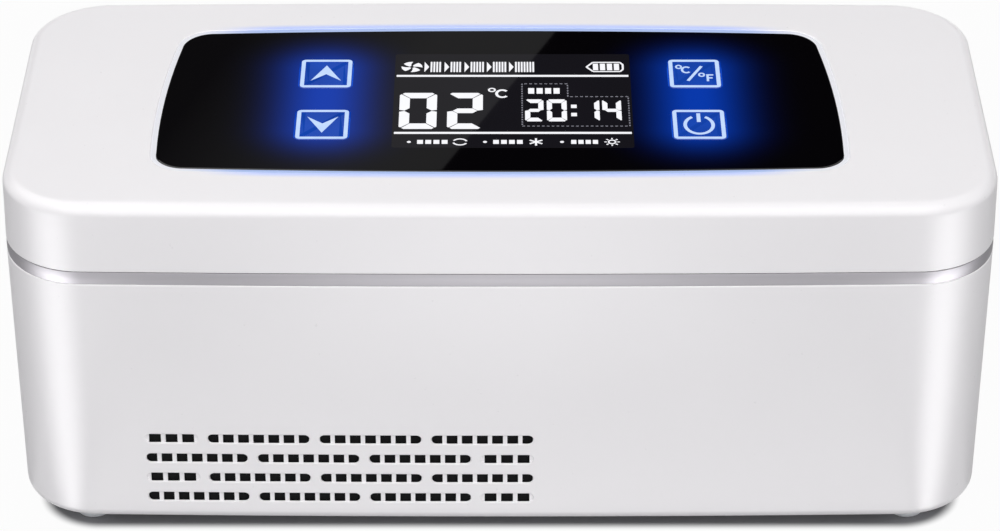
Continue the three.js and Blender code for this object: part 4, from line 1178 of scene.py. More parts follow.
@dataclass
class CaseBody:
    """Moulded body with its outlet, bright band, base and feet."""

    form: CaseForm
    nodes: Nodes
    wall: float = 2.4
    bottom_fillet: float = 2.4
    edge: float = 0.3
    inner_edge: float = 0.2
    seat_edge: float = 0.15
    mouth_inset: float = 4.8
    mouth_edge: float = 0.3
    mouth_gap: float = 0.4
    longest: float = 9.0
    band_seat: float = 1.35
    band_thickness: float = 1.2
    band_edge: float = 0.12
    band_back_edge: float = 0.1
    band_crown: float = 0.1
    band_crown_radius: float = 6.0
    band_rise: float = 0.18
    band_gap: float = 0.5
    nose_radius: float = 3.9
    inlet_clearance: float = 0.3
    inlet_mouth: tuple[Point, ...] = ((0.0, -4.0), (0.0, -0.6), (0.15, -0.18), (0.6, 0.05), (1.2, 0.2))
    foot_radius: float = 4.4
    foot_tread: float = 2.9
    foot_edge: float = 2.2
    foot_rim: float = 0.25
    foot_hub: float = 0.4
    foot_steps: int = 12
    base_edge: float = 0.3
    socket_edge: float = 0.2

    def moulding(self) -> None:
        """Builds the body moulding with its outlet and power inlet."""
        form = self.form
        low, band_low, top = form.body.lo.z, form.band.lo.z, form.body.hi.z
        floor = low + self.wall
        section = ease(
            Corner(self.mouth_inset, floor),
            Corner(self.mouth_inset, low, self.mouth_edge),
            Corner(form.taper, low, self.bottom_fillet),
            Corner(0.0, band_low, self.edge),
            Corner(self.band_seat, band_low, self.seat_edge),
            Corner(self.band_seat, top, self.inner_edge),
            Corner(self.wall, top, self.inner_edge),
            Corner(self.wall, band_low),
            Corner(self.wall + form.taper, floor, self.inner_edge),
            Corner(self.mouth_inset - self.mouth_gap, floor),
            longest=self.longest,
            steps=8,
        )
        shape = Shape()
        shape.wall(form.plan, section, closed=True)
        piece = shape.done("body_moulding")
        Outlet(form).build(piece)
        combine(piece, self.inlet_tool(), Combine.CUT)
        weigh_normals(piece)
        place(piece, Body.CASE, WHITE_ABS, ["body_shell"])

    def inlet_tool(self) -> Piece:
        """Makes the tool for the power inlet in the rear face, with a rounded mouth.

        Returns:
            The linked tool.
        """
        middle = NodeBox.of("dc_socket").middle
        face = self.form.face(middle.x, middle.z)
        radius = self.nose_radius + self.inlet_clearance
        rings = []
        for grow, depth in self.inlet_mouth:
            outline = circle(middle.x, middle.z, radius + grow)
            rings.append([(x, face + depth, z) for x, z in outline])
        shape = Shape()
        shape.loft(rings)
        return shape.done("inlet_opening")

    def band(self) -> None:
        """Builds the plated band, slightly crowned between its eased edges."""
        low, high = self.form.band.lo.z, self.form.band.hi.z + self.band_rise
        middle = (low + high) / 2
        section = ease(
            Corner(self.band_thickness, middle),
            Corner(self.band_thickness, low, self.band_back_edge),
            Corner(self.band_crown, low, self.band_edge),
            Corner(0.0, middle, self.band_crown_radius),
            Corner(self.band_crown, high, self.band_edge),
            Corner(self.band_thickness, high, self.band_back_edge),
            Corner(self.band_thickness, middle + self.band_gap),
        )
        shape = Shape()
        shape.wall(self.form.plan, section, closed=True)
        place(shape.done("rim_band"), Body.CASE, PLATED_BAND, ["trim_band"])

    def feet(self) -> None:
        """Builds the four cast feet: a flat tread that curves up into a straight, eased rim."""
        turns = [math.pi / 2 * step / self.foot_steps for step in range(self.foot_steps + 1)]
        swell = self.foot_radius - self.foot_tread
        for name in ("front_left", "front_right", "rear_left", "rear_right"):
            box = NodeBox.of(f"foot_{name}")
            section = [(self.foot_hub, box.lo.z)]
            for turn in turns:
                rise = self.foot_edge * (1 - math.cos(turn))
                section.append((self.foot_tread + swell * math.sin(turn), box.lo.z + rise))
            rim = [Corner(*section[-1]), Corner(self.foot_radius, box.hi.z, self.foot_rim)]
            rim.append(Corner(self.foot_hub, box.hi.z))
            section += ease(*rim, steps=4)[1:]
            middle = box.middle
            shape = Shape()
            shape.loft([[(x, y, z) for x, y in circle(middle.x, middle.y, radius)] for radius, z in section])
            place(shape.done(f"cast_foot_{name}"), Body.CASE, CLEAR_PAD, [f"foot_{name}"])

    def build(self) -> None:
        """Builds the whole body."""
        self.moulding()
        self.band()
        self.feet()
        for node, name, edge, finish, slot in (
            ("base_cover", "base_cover_moulding", self.base_edge, MATT_ABS, "white_abs"),
            ("dc_socket", "power_inlet", self.socket_edge, BLACK_NYLON, "black_plastic"),
        ):
            place_eased(self.nodes, node, name, edge, Body.CASE, finish)


@dataclass
class ColdCompartment:
    """Deck, seal and drawn tray that the open lid shows."""

    nodes: Nodes
    tray_corner: float = 9.0
    tray_wall: float = 1.0
    tray_flange: float = 2.5
    floor_fillet: float = 4.0
    floor_run: float = 2.0
    flange_fillet: float = 0.4
    flange_edges: Point = (0.2, 0.3)
    mouth_edge: float = 0.8
    seal_margin: float = 0.8
    seal_width: float = 2.0
    seal_foot: float = 0.1
    seal_crown: float = 0.95
    seal_gap: float = 0.2
    deck_edge: float = 0.3

    @property
    def lip(self) -> float:
        """Reach of the tray's lip past its mouth."""
        return self.tray_wall + self.tray_flange

    @property
    def plan(self) -> Plan:
        """Finds the plan of the tray's mouth.

        Returns:
            The plan.
        """
        box, lip = NodeBox.of("cold_tray"), self.lip
        half_x, half_y = box.size.x / 2 - lip, box.size.y / 2 - lip
        return Plan(half_x, half_y, self.tray_corner, x=box.middle.x, y=box.middle.y)

    def tray(self) -> None:
        """Builds the tray with its rolled lip and rounded floor."""
        box = NodeBox.of("cold_tray")
        top, bottom = box.hi.z, box.lo.z
        wall, lip = self.tray_wall, self.lip
        lower, upper = self.flange_edges
        section = ease(
            Corner(self.floor_fillet + self.floor_run, bottom),
            Corner(-wall, bottom, self.floor_fillet + wall),
            Corner(-wall, top - wall, self.flange_fillet),
            Corner(-lip, top - wall, lower),
            Corner(-lip, top, upper),
            Corner(0.0, top, self.mouth_edge),
            Corner(0.0, bottom + wall, self.floor_fillet),
            Corner(self.floor_fillet + self.floor_run, bottom + wall),
            steps=8,
        )
        shape = Shape()
        shape.wall(self.plan, section)
        piece = shape.done("drawn_tray")
        weigh_normals(piece)
        place(piece, Body.CASE, ANODISED_TRAY, ["cold_tray"])

    def seal(self) -> None:
        """Builds the soft seal round the mouth, a D in section."""
        box = NodeBox.of("deck_seal")
        inner = self.lip + self.seal_margin
        outer = inner + self.seal_width
        middle = (box.lo.z + box.hi.z) / 2
        section = ease(
            Corner(-inner, middle - self.seal_gap),
            Corner(-inner, box.lo.z, self.seal_foot),
            Corner(-outer, box.lo.z, self.seal_foot),
            Corner(-outer, box.hi.z, self.seal_crown),
            Corner(-inner, box.hi.z, self.seal_crown),
            Corner(-inner, middle),
            steps=8,
        )
        shape = Shape()
        shape.wall(self.plan, section, closed=True)
        place(shape.done("mouth_seal"), Body.CASE, SILICONE, ["deck_seal"])

    def build(self) -> None:
        """Builds the whole compartment."""
        self.tray()
        self.seal()
        place_eased(self.nodes, "deck_frame", "deck_ring", self.deck_edge, Body.CASE, MATT_ABS)


@dataclass
class Lid:
    """Lid moulding with its panel recess, rolled rear edge, hinge notches and liner."""

    form: CaseForm
    panel: Plan
    nodes: Nodes
    wall: float = 2.4
    taper: float = 0.2
    top: float = 3.6
    top_fillet: float = 2.6
    top_flat: float = 0.6
    edge: float = 0.15
    inner_edge: float = 0.2
    ceiling_fillet: float = 2.0
    ceiling_run: float = 6.0
    longest: float = 6.0
    recess_grow: float = 1.1
    recess_depth: float = 1.85
    recess_edge: float = 0.25
    recess_corner: float = 0.1
    recess_flat: float = 0.8
    ledge: float = 3.0
    ledge_run: float = 1.0
    hinge_inset: float = 5.0
    hinge_x: float = 55.0
    roll_turns: tuple[int, int, int] = (-86, 0, 2)
    roll_rise: float = 0.5
    knuckle_half: float = 11.4
    knuckle_clear: float = 4.0
    notch_rise: float = 2.5
    cheek: float = 6.0
    cheek_front: float = 1.5
    liner_lift: float = 0.2
    liner_edge: float = 0.3

    @property
    def axis(self) -> Point:
        """Depth and level of the hinge axis."""
        return (self.form.plan.half_y - self.hinge_inset, self.form.lid.lo.z + self.hinge_inset)

    def moulding(self) -> None:
        """Builds the lid moulding."""
        low, high = self.form.lid.lo.z, self.form.lid.hi.z
        ceiling, recess = high - self.top, high - self.recess_depth
        wall = ease(
            Corner(self.wall + self.taper + self.ceiling_run, ceiling),
            Corner(self.wall + self.taper, ceiling, self.ceiling_fillet),
            Corner(self.wall, low, self.inner_edge),
            Corner(0.0, low, self.edge),
            Corner(self.taper, high, self.top_fillet),
            Corner(self.taper + self.top_fillet + self.top_flat, high),
            longest=self.longest,
            steps=10,
        )
        rim = ease(
            Corner(-self.recess_grow - self.recess_flat, high),
            Corner(-self.recess_grow, high, self.recess_edge),
            Corner(-self.recess_grow, recess, self.recess_corner),
            Corner(self.ledge, recess, self.recess_corner),
            Corner(self.ledge, ceiling, self.inner_edge),
            Corner(self.ledge - self.ledge_run, ceiling),
            steps=4,
        )
        rings = [[(x, y, z) for x, y in self.form.plan.ring(inset)] for inset, z in wall]
        rings += [[(x, y, z) for x, y in self.panel.ring(inset)] for inset, z in rim]
        shape = Shape()
        shape.loft(rings, closed=True)
        piece = shape.done("lid_moulding")
        combine(piece, self.roll_tool(), Combine.CUT)
        combine(piece, self.hinge_blocks(), Combine.JOIN)
        combine(piece, self.hinge_notches(), Combine.CUT)
        weigh_normals(piece)
        # The body's moulded ABS once more, with a painted blue tint and glow where the panel's edge light
        # would spill onto it.
        abs_plastic = asdict(WHITE_ABS) | {"name": "white_abs_lid_painted_glow"}
        place(piece, Body.LID, PaintedGlowRim(**abs_plastic, panel=self.panel), ["lid_shell"])

    def roll_tool(self) -> Piece:
        """Makes the tool that rolls the lower rear edge about the hinge axis.

        Returns:
            The linked tool.
        """
        (axis_y, axis_z), reach = self.axis, self.hinge_inset
        low, back = self.form.lid.lo.z - PAST, self.form.plan.half_y + PAST
        first, last, step = self.roll_turns
        turns = [math.radians(angle) for angle in range(first, last + 1, step)]
        curve = [(axis_y + reach * math.cos(turn), axis_z + reach * math.sin(turn)) for turn in turns]
        half = self.form.plan.half_x + PAST
        shape = Shape()
        shape.bar([(axis_y, low), *curve, (back, axis_z + self.roll_rise), (back, low)], -half, half)
        return shape.done("rear_roll")

    def hinge_bars(self, name: str, section: Sequence[Point], half: float) -> Piece:
        """Makes a pair of bars, one at each hinge.

        Args:
            name: Object name.
            section: Points of their section, as pairs of Y and Z.
            half: Half their length.

        Returns:
            The linked bars.
        """
        shape = Shape()
        for side in (-1, 1):
            shape.bar(section, side * self.hinge_x - half, side * self.hinge_x + half)
        return shape.done(name)

    def hinge_blocks(self) -> Piece:
        """Makes the two blocks that hold the hinge pins, round behind so that they swing clear.

        Returns:
            The linked blocks.
        """
        axis_y, axis_z = self.axis
        front = axis_y - self.knuckle_clear - self.cheek_front
        back = self.form.plan.half_y - self.wall + JOIN
        bottom, top = self.form.lid.lo.z + self.liner_lift, self.form.lid.hi.z - self.top + JOIN
        reach = axis_z - bottom
        curve = arc(axis_y, axis_z, reach, -math.pi / 2, -math.acos((back - axis_y) / reach), 6)
        section = [(front, top), (front, bottom), *curve, (back, top)]
        return self.hinge_bars("hinge_blocks", section, self.knuckle_half + self.cheek)

    def hinge_notches(self) -> Piece:
        """Makes the tool that clears the two knuckles.

        Returns:
            The linked tool.
        """
        (axis_y, axis_z), reach = self.axis, self.knuckle_clear
        low, back = self.form.lid.lo.z - PAST, self.form.plan.half_y + PAST
        curve = arc(axis_y, axis_z, reach, math.pi, math.asin(self.notch_rise / reach), 16)
        section = [(axis_y - reach, low), *curve, (back, axis_z + self.notch_rise), (back, low)]
        return self.hinge_bars("hinge_notches", section, self.knuckle_half)

    def build(self) -> None:
        """Builds the whole lid."""
        self.moulding()
        place_eased(
            self.nodes, "lid_liner", "lid_liner_moulding", self.liner_edge, Body.LID, MATT_ABS
        )


def arc_band(x: float, y: float, rx: float, ry: float, width: float, start: float, end: float) -> Outline:
    """Gives the outline of an arc of even width on an ellipse.

    Args:
        x: Centre.
        y: Centre.
        rx: Outer half-width.
        ry: Outer half-height.
        width: Stroke.
        start: First angle in degrees.
        end: Last angle in degrees.

    Returns:
        Closed outline.
    """
    steps = max(6, int(abs(end - start) / 9))
    turns = [math.radians(start + (end - start) * step / steps) for step in range(steps + 1)]
    outer = [(x + rx * math.cos(turn), y + ry * math.sin(turn)) for turn in turns]
    inner = [(x + (rx - width) * math.cos(turn), y + (ry - width) * math.sin(turn)) for turn in turns]
    return outer + inner[::-1]


def box_outline(x0: float, y0: float, x1: float, y1: float) -> Outline:
    """Gives a rectangle from two corners."""
    return [(x0, y0), (x1, y0), (x1, y1), (x0, y1)]


def stroke(x0: float, y0: float, x1: float, y1: float, width: float) -> Outline:
    """Gives a straight stroke between two points.

    Args:
        x0: Start.
        y0: Start.
        x1: End.
        y1: End.
        width: Stroke width.

    Returns:
        Closed outline.
    """
    along = Vector((x1 - x0, y1 - y0)).normalized() * (width / 2)
    return [
        (x0 - along.y, y0 + along.x),
        (x0 + along.y, y0 - along.x),
        (x1 + along.y, y1 - along.x),
        (x1 - along.y, y1 + along.x),
    ]


def inlay(name: str, outlines: Iterable[Sequence[Point]], at: Point, levels: Point) -> Piece:
    """Makes thin solid artwork from closed outlines.

    Args:
        name: Object name.
        outlines: Outlines about their own origin.
        at: Place of that origin.
        levels: Lower and upper level.

    Returns:
        The linked object.
    """
    shape = Shape()
    for outline in outlines:
        shape.prism([(x + at[0], y + at[1]) for x, y in outline], *levels)
    return shape.done(name)


@dataclass
class ControlPanel:
    """Smoked panel with its edge light and four lit keys."""

    half_x: float = 71.05
    half_y: float = 30.5
    corner: float = 6.5
    bow: float = 1.3
    side_bow: float = 1.0
    taper: float = 1.5
    edge: float = 0.35
    under_edge: float = 0.1
    face_flat: float = 0.2
    face_run: float = 3.0
    sink: float = 0.08
    ink: float = 0.03
    light_insets: Point = (-0.1, -1.0)
    light_foot: float = 0.1
    light_edge: float = 0.25
    light_seam: Point = (0.8, 0.7)
    key_corner: float = 1.2
    key_fit: float = 0.2
    key_lip: float = 0.6
    key_edge: float = 0.25
    key_run: float = 2.0
    lip_gap: float = 0.25
    lip_height: float = 0.6
    lip_edge: float = 0.1
    neck_edge: float = 0.05
    stem_radius: float = 1.6
    stem_under: float = 0.5
    frame_inset: float = 0.22
    frame_width: float = 0.85
    glow_spread: float = 8.3
    glow_half: float = 0.5
    glow_past: float = 1.2

    @property
    def box(self) -> NodeBox:
        """Box of the panel."""
        return NodeBox.of("control_panel")

    @property
    def plan(self) -> Plan:
        """Plan of the panel."""
        x, y, _ = self.box.middle
        return Plan(self.half_x, self.half_y, self.corner, self.bow, self.side_bow, x, y, self.taper)

    @property
    def surface(self) -> float:
        """Level of the panel's face, a hair below the lid's top so that its print stays inside."""
        return self.box.hi.z - self.sink

    def key_plan(self, sign: KeySign) -> Plan:
        """Gives the plan of one key's cap.

        Args:
            sign: Which key.

        Returns:
            Its plan, without the lip.
        """
        box = NodeBox.of(f"key_{sign.value}")
        half_x, half_y = box.size.x / 2 - self.key_lip, box.size.y / 2 - self.key_lip
        return Plan(half_x, half_y, self.key_corner, x=box.middle.x, y=box.middle.y)

    def columns(self) -> tuple[GlowColumn, ...]:
        """Finds the two key columns whose light spreads under the panel.

        Returns:
            The left and the right column.
        """
        made = []
        for upper, lower in ((KeySign.UP, KeySign.DOWN), (KeySign.UNIT, KeySign.POWER)):
            a, b = self.key_plan(upper), self.key_plan(lower)
            middle = ((a.x + b.x) / 2, (a.y + b.y) / 2)
            half = (self.glow_half, abs(a.y - b.y) / 2 + self.glow_past)
            made.append(GlowColumn(middle, half, self.glow_spread))
        return tuple(made)

    def plate(self) -> None:
        """Builds the panel with a window for each key."""
        low, high = self.box.lo.z, self.surface
        section = ease(
            Corner(self.face_run, low),
            Corner(0.0, low, self.under_edge),
            Corner(0.0, high, self.edge),
            Corner(self.edge + self.face_flat, high),
            Corner(self.face_run, high),
            steps=5,
        )
        shape = Shape()
        shape.wall(self.plan, section)
        piece = shape.done("panel_plate")
        windows = Shape()
        for sign in KeySign:
            windows.prism(self.key_plan(sign).ring(-self.key_fit, WINDOW_STEPS), low - PAST, high + PAST)
        combine(piece, windows.done("key_windows"), Combine.CUT)
        weigh_normals(piece)
        lit = replace(SMOKED_PANEL, columns=self.columns())
        place(piece, Body.LID, lit, ["control_panel"])

    def edge_light(self) -> None:
        """Builds the clear frame round the panel."""
        box = NodeBox.of("panel_light_guide")
        (inner, outer), (start, end) = self.light_insets, self.light_seam
        high = box.hi.z - self.sink / 2
        section = ease(
            Corner(inner, high - start),
            Corner(inner, box.lo.z, self.light_foot),
            Corner(outer, box.lo.z, self.light_foot),
            Corner(outer, high, self.light_edge),
            Corner(inner, high, self.light_edge),
            Corner(inner, high - end),
            steps=4,
        )
        shape = Shape()
        shape.wall(self.plan, section, closed=True)
        place(shape.done("panel_edge_frame"), Body.LID, PANEL_EDGE, ["panel_light_guide"])

    def sign_outlines(self, sign: KeySign) -> list[Outline]:
        """Gives the outlines of a key's sign about the key's middle.

        Args:
            sign: Which key.

        Returns:
            Closed outlines in millimetres.
        """
        if sign is KeySign.UP:
            return [[(0.0, 3.5), (-3.25, -3.2), (0.0, -0.3), (3.25, -3.2)]]
        if sign is KeySign.DOWN:
            return [[(0.0, -3.5), (3.25, 3.2), (0.0, 0.3), (-3.25, 3.2)]]
        if sign is KeySign.POWER:
            ring = arc_band(0.0, -0.25, 3.3, 4.1, 0.75, 118.0, 422.0)
            return [ring, box_outline(-0.4, 1.0, 0.4, 4.6)]
        # The unit key: a slash between two degree rings with an open ring and a three-stroke letter.
        slash = stroke(-1.5, -3.2, 1.6, 3.2, 0.65)
        degrees = [arc_band(x, y, 0.75, 0.9, 0.4, 0.0, 350.0) for x, y in ((-3.3, 2.9), (1.5, -0.6))]
        open_ring = arc_band(-1.7, 1.6, 1.15, 1.5, 0.5, 45.0, 315.0)
        bars = ((2.5, -3.4, 3.0, -0.4), (2.9, -0.9, 4.0, -0.4), (2.9, -2.2, 3.8, -1.7))
        return [slash, *degrees, open_ring, *(box_outline(*bar) for bar in bars)]

    def key(self, sign: KeySign) -> None:
        """Builds one key: its cap with a retaining lip, its lit frame and its sign.

        Args:
            sign: Which key.
        """
        name = sign.value
        body = Body(f"{name}_key")
        box, plan, high = NodeBox.of(f"key_{name}"), self.key_plan(sign), self.surface
        lip_top = self.box.lo.z - self.lip_gap
        section = ease(
            Corner(self.key_run, lip_top - self.lip_height),
            Corner(-self.key_lip, lip_top - self.lip_height, self.lip_edge),
            Corner(-self.key_lip, lip_top, self.lip_edge),
            Corner(0.0, lip_top, self.neck_edge),
            Corner(0.0, high, self.key_edge),
            Corner(self.key_run, high),
            steps=4,
        )
        shape = Shape()
        shape.wall(plan, section, steps=KEY_STEPS)
        stem = circle(box.middle.x, box.middle.y, self.stem_radius)
        shape.prism(stem, box.lo.z, lip_top - self.stem_under)
        place(shape.done(f"key_cap_{name}"), body, KEY_ACRYLIC, [f"key_{name}"])
        low, top = high - self.ink, high + self.ink
        near, far = self.frame_inset, self.frame_inset + self.frame_width
        frame = Shape()
        frame.wall(plan, [(near, low), (near, top), (far, top), (far, low)], closed=True, steps=FRAME_STEPS)
        place(frame.done(f"key_frame_{name}"), body, KEY_SIGN)
        artwork = inlay(f"key_sign_{name}", self.sign_outlines(sign), (plan.x, plan.y), (low, top))
        place(artwork, body, KEY_SIGN)

    def build(self) -> None:
        """Builds the whole panel."""
        self.plate()
        self.edge_light()
        for sign in KeySign:
            self.key(sign)


@dataclass(frozen=True)
class Figure:
    """One seven-segment figure of the display; mirrors of three segments make them all.

    Posts are its upright segments and bars its level ones, both given by their thickness.
    """

    LIT: ClassVar[Mapping[str, str]] = {"0": "abcdef", "1": "bc", "2": "abged", "4": "fgbc"}

    width: float
    height: float
    post: float
    bar: float
    # Gap at each joint, slanting cut at the outer corners and point of the middle bar, in posts.
    gap: float = 0.06
    cut: float = 0.4
    nose: float = 0.55
    # Ends of the cuts on a bar and on a post, in cuts and in bars.
    bar_cut: Point = (0.5, 0.2)
    post_cut: Point = (0.4, 0.28)
    # Start of a post's cut, which is half the middle bar, and a post's outer and inner foot, in bars.
    shoulder: float = 0.42
    feet: Point = (0.12, 0.45)

    def outlines(self, figure: str, x: float, y: float) -> list[Outline]:
        """Gives the lit segments of a figure.

        Args:
            figure: The figure.
            x: Its middle.
            y: Its middle.

        Returns:
            Closed outlines.
        """
        right, top, post, bar = self.width / 2, self.height / 2, self.post, self.bar
        gap, cut, half = post * self.gap, post * self.cut, bar * self.shoulder
        outer, inner = (gap + bar * share for share in self.feet)
        bar_cut, post_cut = ((cut * along, bar * down) for along, down in (self.bar_cut, self.post_cut))
        level = [(right - cut - gap, top), (right - bar_cut[0] - gap, top - bar_cut[1])]
        level.append((right - post - gap, top - bar))
        upright = [(right, outer), (right, top - half), (right - post_cut[0], top - post_cut[1])]
        upright += [(right - post, top - bar - gap), (right - post, inner), (right - post / 2, gap)]
        bridge = [(right - post, half), (right - post * self.nose, 0.0), (right - post, -half)]
        level += [(-px, py) for px, py in reversed(level)]
        bridge += [(-px, -py) for px, py in bridge]
        segments = {
            "a": (level, 1, 1), "d": (level, 1, -1), "g": (bridge, 1, 1),
            "b": (upright, 1, 1), "c": (upright, 1, -1), "e": (upright, -1, -1), "f": (upright, -1, 1),
        }
        lit = [segments[name] for name in self.LIT[figure]]
        return [[(x + sx * px, y + sy * py) for px, py in segment] for segment, sx, sy in lit]


@dataclass
class Display:
    """Lit segments that show through the panel, about the middle of the display."""

    surface: float
    window_margin: float = 0.8
    window_corner: float = 0.6
    ink: float = 0.02
    reading_y: Point = (-12.4, 3.0)
    reading_figures: FigureRow = (("0", -23.9, -16.0), ("2", -13.8, -6.3))
    reading_line: Point = (2.15, 2.3)
    degree_ring: tuple[float, ...] = (-4.4, 4.3, 0.85, 0.9, 0.4, 0.0, 352.0)
    unit_ring: tuple[float, ...] = (-2.2, 2.7, 1.5, 1.85, 0.6, 42.0, 318.0)
    clock_y: Point = (-9.2, 0.2)
    clock_figures: FigureRow = (("2", 2.6, 6.5), ("0", 7.2, 11.4), ("1", 14.4, 18.3), ("4", 18.9, 22.9))
    clock_line: Point = (1.1, 1.55)
    colon_x: float = 12.9
    colon_half: float = 0.6
    colon_height: float = 1.4
    colon_rises: Point = (2.2, 5.7)
    icon_y: Point = (12.2, 16.7)
    fan_x: float = -21.6
    fan_radii: Point = (0.5, 2.25)
    fan_turns: tuple[int, ...] = (16, -6, 52, 70)
    fan_steps: tuple[int, ...] = (5, 5, 4)
    level_marks: tuple[float, ...] = (-18.9, -14.6, -10.3, -5.5, -0.75, 5.5)
    arrow: float = 1.0
    bars_from: float = 1.3
    bars_short: float = 1.4
    bar_pitch: float = 0.62
    bar_width: float = 0.38
    battery_x: Point = (15.6, 23.7)
    battery_line: float = 0.42
    battery_tip: Point = (0.3, 1.7)
    battery_chamfer: Point = (0.6, 1.2)
    battery_bars: int = 4
    bars_pad: Point = (0.4, 0.8)
    bars_share: float = 0.74
    mode_y: float = -17.84
    mode_dots: tuple[float, ...] = (-21.6, -5.8, 10.2)
    dot_radius: float = 0.42
    mode_labels: tuple[Point, ...] = ((-19.9, -13.1), (-4.1, 2.5), (12.1, 18.1))
    label_half: float = 0.8
    label_share: float = 0.72
    cycle_x: float = -11.0
    cycle_ring: Point3 = (1.6, 1.45, 0.4)
    cycle_arcs: tuple[Point, ...] = ((15.0, 155.0), (195.0, 335.0))
    flake_x: float = 4.8
    flake_reach: float = 1.5
    flake_line: float = 0.42
    sun_x: float = 20.6
    sun_ring: Point3 = (0.9, 0.9, 0.36)
    sun_rays: Point = (1.1, 1.6)
    sun_line: float = 0.32
    rule_half: float = 24.8
    rule_width: float = 0.8
    rules: Point = (10.49, -14.07)
    tab_label: tuple[float, ...] = (3.3, 10.5, 2.7, 5.1)
    box_corners: tuple[Point, ...] = (
        (2.0, -11.2), (24.5, -11.2), (24.5, 1.4), (11.7, 1.4), (11.7, 7.0), (2.0, 7.0), (2.0, -11.2),
    )
    dash_share: float = 0.55
    dash_line: float = 0.3

    def figures(self, row: FigureRow, level: Point, line: Point) -> list[Outline]:
        """Gives a row of figures.

        Args:
            row: Each figure with its left and right edge.
            level: Lower and upper edge.
            line: Thickness of the upright and of the level segments.

        Returns:
            Closed outlines.
        """
        outlines: list[Outline] = []
        for figure, left, right in row:
            shape = Figure(right - left, level[1] - level[0], *line)
            outlines += shape.outlines(figure, (left + right) / 2, (level[0] + level[1]) / 2)
        return outlines

    def reading(self) -> list[Outline]:
        """Gives the large reading with its degree sign."""
        outlines = self.figures(self.reading_figures, self.reading_y, self.reading_line)
        return [*outlines, arc_band(*self.degree_ring), arc_band(*self.unit_ring)]

    def clock(self) -> list[Outline]:
        """Gives the clock figures and their colon.

        Returns:
            Closed outlines.
        """
        outlines = self.figures(self.clock_figures, self.clock_y, self.clock_line)
        left, right = self.colon_x - self.colon_half, self.colon_x + self.colon_half
        for rise in self.colon_rises:
            low = self.clock_y[0] + rise
            outlines.append(box_outline(left, low, right, low + self.colon_height))
        return outlines

    def fan_sign(self) -> list[Outline]:
        """Gives the fan sign: four swept blades.

        Returns:
            Closed outlines.
        """
        x, y = self.fan_x, sum(self.icon_y) / 2
        hub, tip = self.fan_radii
        corners = list(zip((hub, tip, tip, hub), self.fan_turns))
        outlines: list[Outline] = []
        for blade in range(4):
            points = [(hub, math.radians(90 * blade + self.fan_turns[0]))]
            for (r0, a0), (r1, a1), steps in zip(corners, corners[1:], self.fan_steps):
                for step in range(1, steps + 1):
                    angle = 90 * blade + a0 + (a1 - a0) * step / steps
                    points.append((r0 + (r1 - r0) * step / steps, math.radians(angle)))
            outlines.append([(x + radius * math.cos(a), y + radius * math.sin(a)) for radius, a in points])
        return outlines

    def fan_level(self) -> list[Outline]:
        """Gives the fan sign and the level strip: arrows, each followed by a run of bars.

        Returns:
            Closed outlines.
        """
        low, high = self.icon_y
        outlines = self.fan_sign()
        for left, right in zip(self.level_marks, self.level_marks[1:]):
            outlines.append([(left, low), (left + self.arrow, (low + high) / 2), (left, high)])
            for bar in range(int((right - left - self.bars_short) / self.bar_pitch)):
                x = left + self.bars_from + bar * self.bar_pitch
                outlines.append(box_outline(x, low, x + self.bar_width, high))
        return outlines

    def battery(self) -> list[Outline]:
        """Gives the battery sign: a case with a pointed end and four bars.

        Returns:
            Closed outlines.
        """
        (x0, x1), (y0, y1), line = self.battery_x, self.icon_y, self.battery_line
        tip, shoulder, middle = x0 + self.battery_tip[0], x0 + self.battery_tip[1], (y0 + y1) / 2
        along, up = self.battery_chamfer
        end, half = x1 - along, line / 2
        outlines = [
            stroke(shoulder, y1 - half, tip, middle, line),
            stroke(tip, middle, shoulder, y0 + half, line),
            box_outline(shoulder, y1 - line, end, y1),
            box_outline(shoulder, y0, end, y0 + line),
            stroke(end, y1 - half, x1, y1 - up, line),
            stroke(end, y0 + half, x1, y0 + up, line),
            box_outline(x1 - half, y0 + up, x1 + half, y1 - up),
        ]
        right, pad = self.bars_pad
        pitch = (x1 - right - shoulder) / self.battery_bars
        for n in range(self.battery_bars):
            edges = (shoulder + n * pitch, shoulder + (n + self.bars_share) * pitch)
            outlines.append(box_outline(edges[0], y0 + pad, edges[1], y1 - pad))
        return outlines

    def label(self, x0: float, x1: float, y0: float, y1: float, blocks: int = 4) -> list[Outline]:
        """Gives a plain label, a row of even blocks between two edges each way."""
        pitch, share = (x1 - x0) / blocks, self.label_share
        return [box_outline(x0 + n * pitch, y0, x0 + (n + share) * pitch, y1) for n in range(blocks)]

    def modes(self) -> list[Outline]:
        """Gives the mode row: dots, plain labels, and the cycle, flake and sun signs.

        Returns:
            Closed outlines.
        """
        y = self.mode_y
        outlines = [circle(x, y, self.dot_radius, 12) for x in self.mode_dots]
        for left, right in self.mode_labels:
            outlines += self.label(left, right, y - self.label_half, y + self.label_half)
        outlines += [arc_band(self.cycle_x, y, *self.cycle_ring, *turns) for turns in self.cycle_arcs]
        for turn in range(3):
            angle = math.radians(60 * turn + 30)
            dx, dy = self.flake_reach * math.cos(angle), self.flake_reach * math.sin(angle)
            outlines.append(stroke(self.flake_x - dx, y - dy, self.flake_x + dx, y + dy, self.flake_line))
        outlines.append(arc_band(self.sun_x, y, *self.sun_ring, 0.0, 350.0))
        near, far = self.sun_rays
        for turn in range(8):
            angle = math.radians(45 * turn)
            dx, dy = math.cos(angle), math.sin(angle)
            start = (self.sun_x + near * dx, y + near * dy)
            outlines.append(stroke(*start, self.sun_x + far * dx, y + far * dy, self.sun_line))
        return outlines

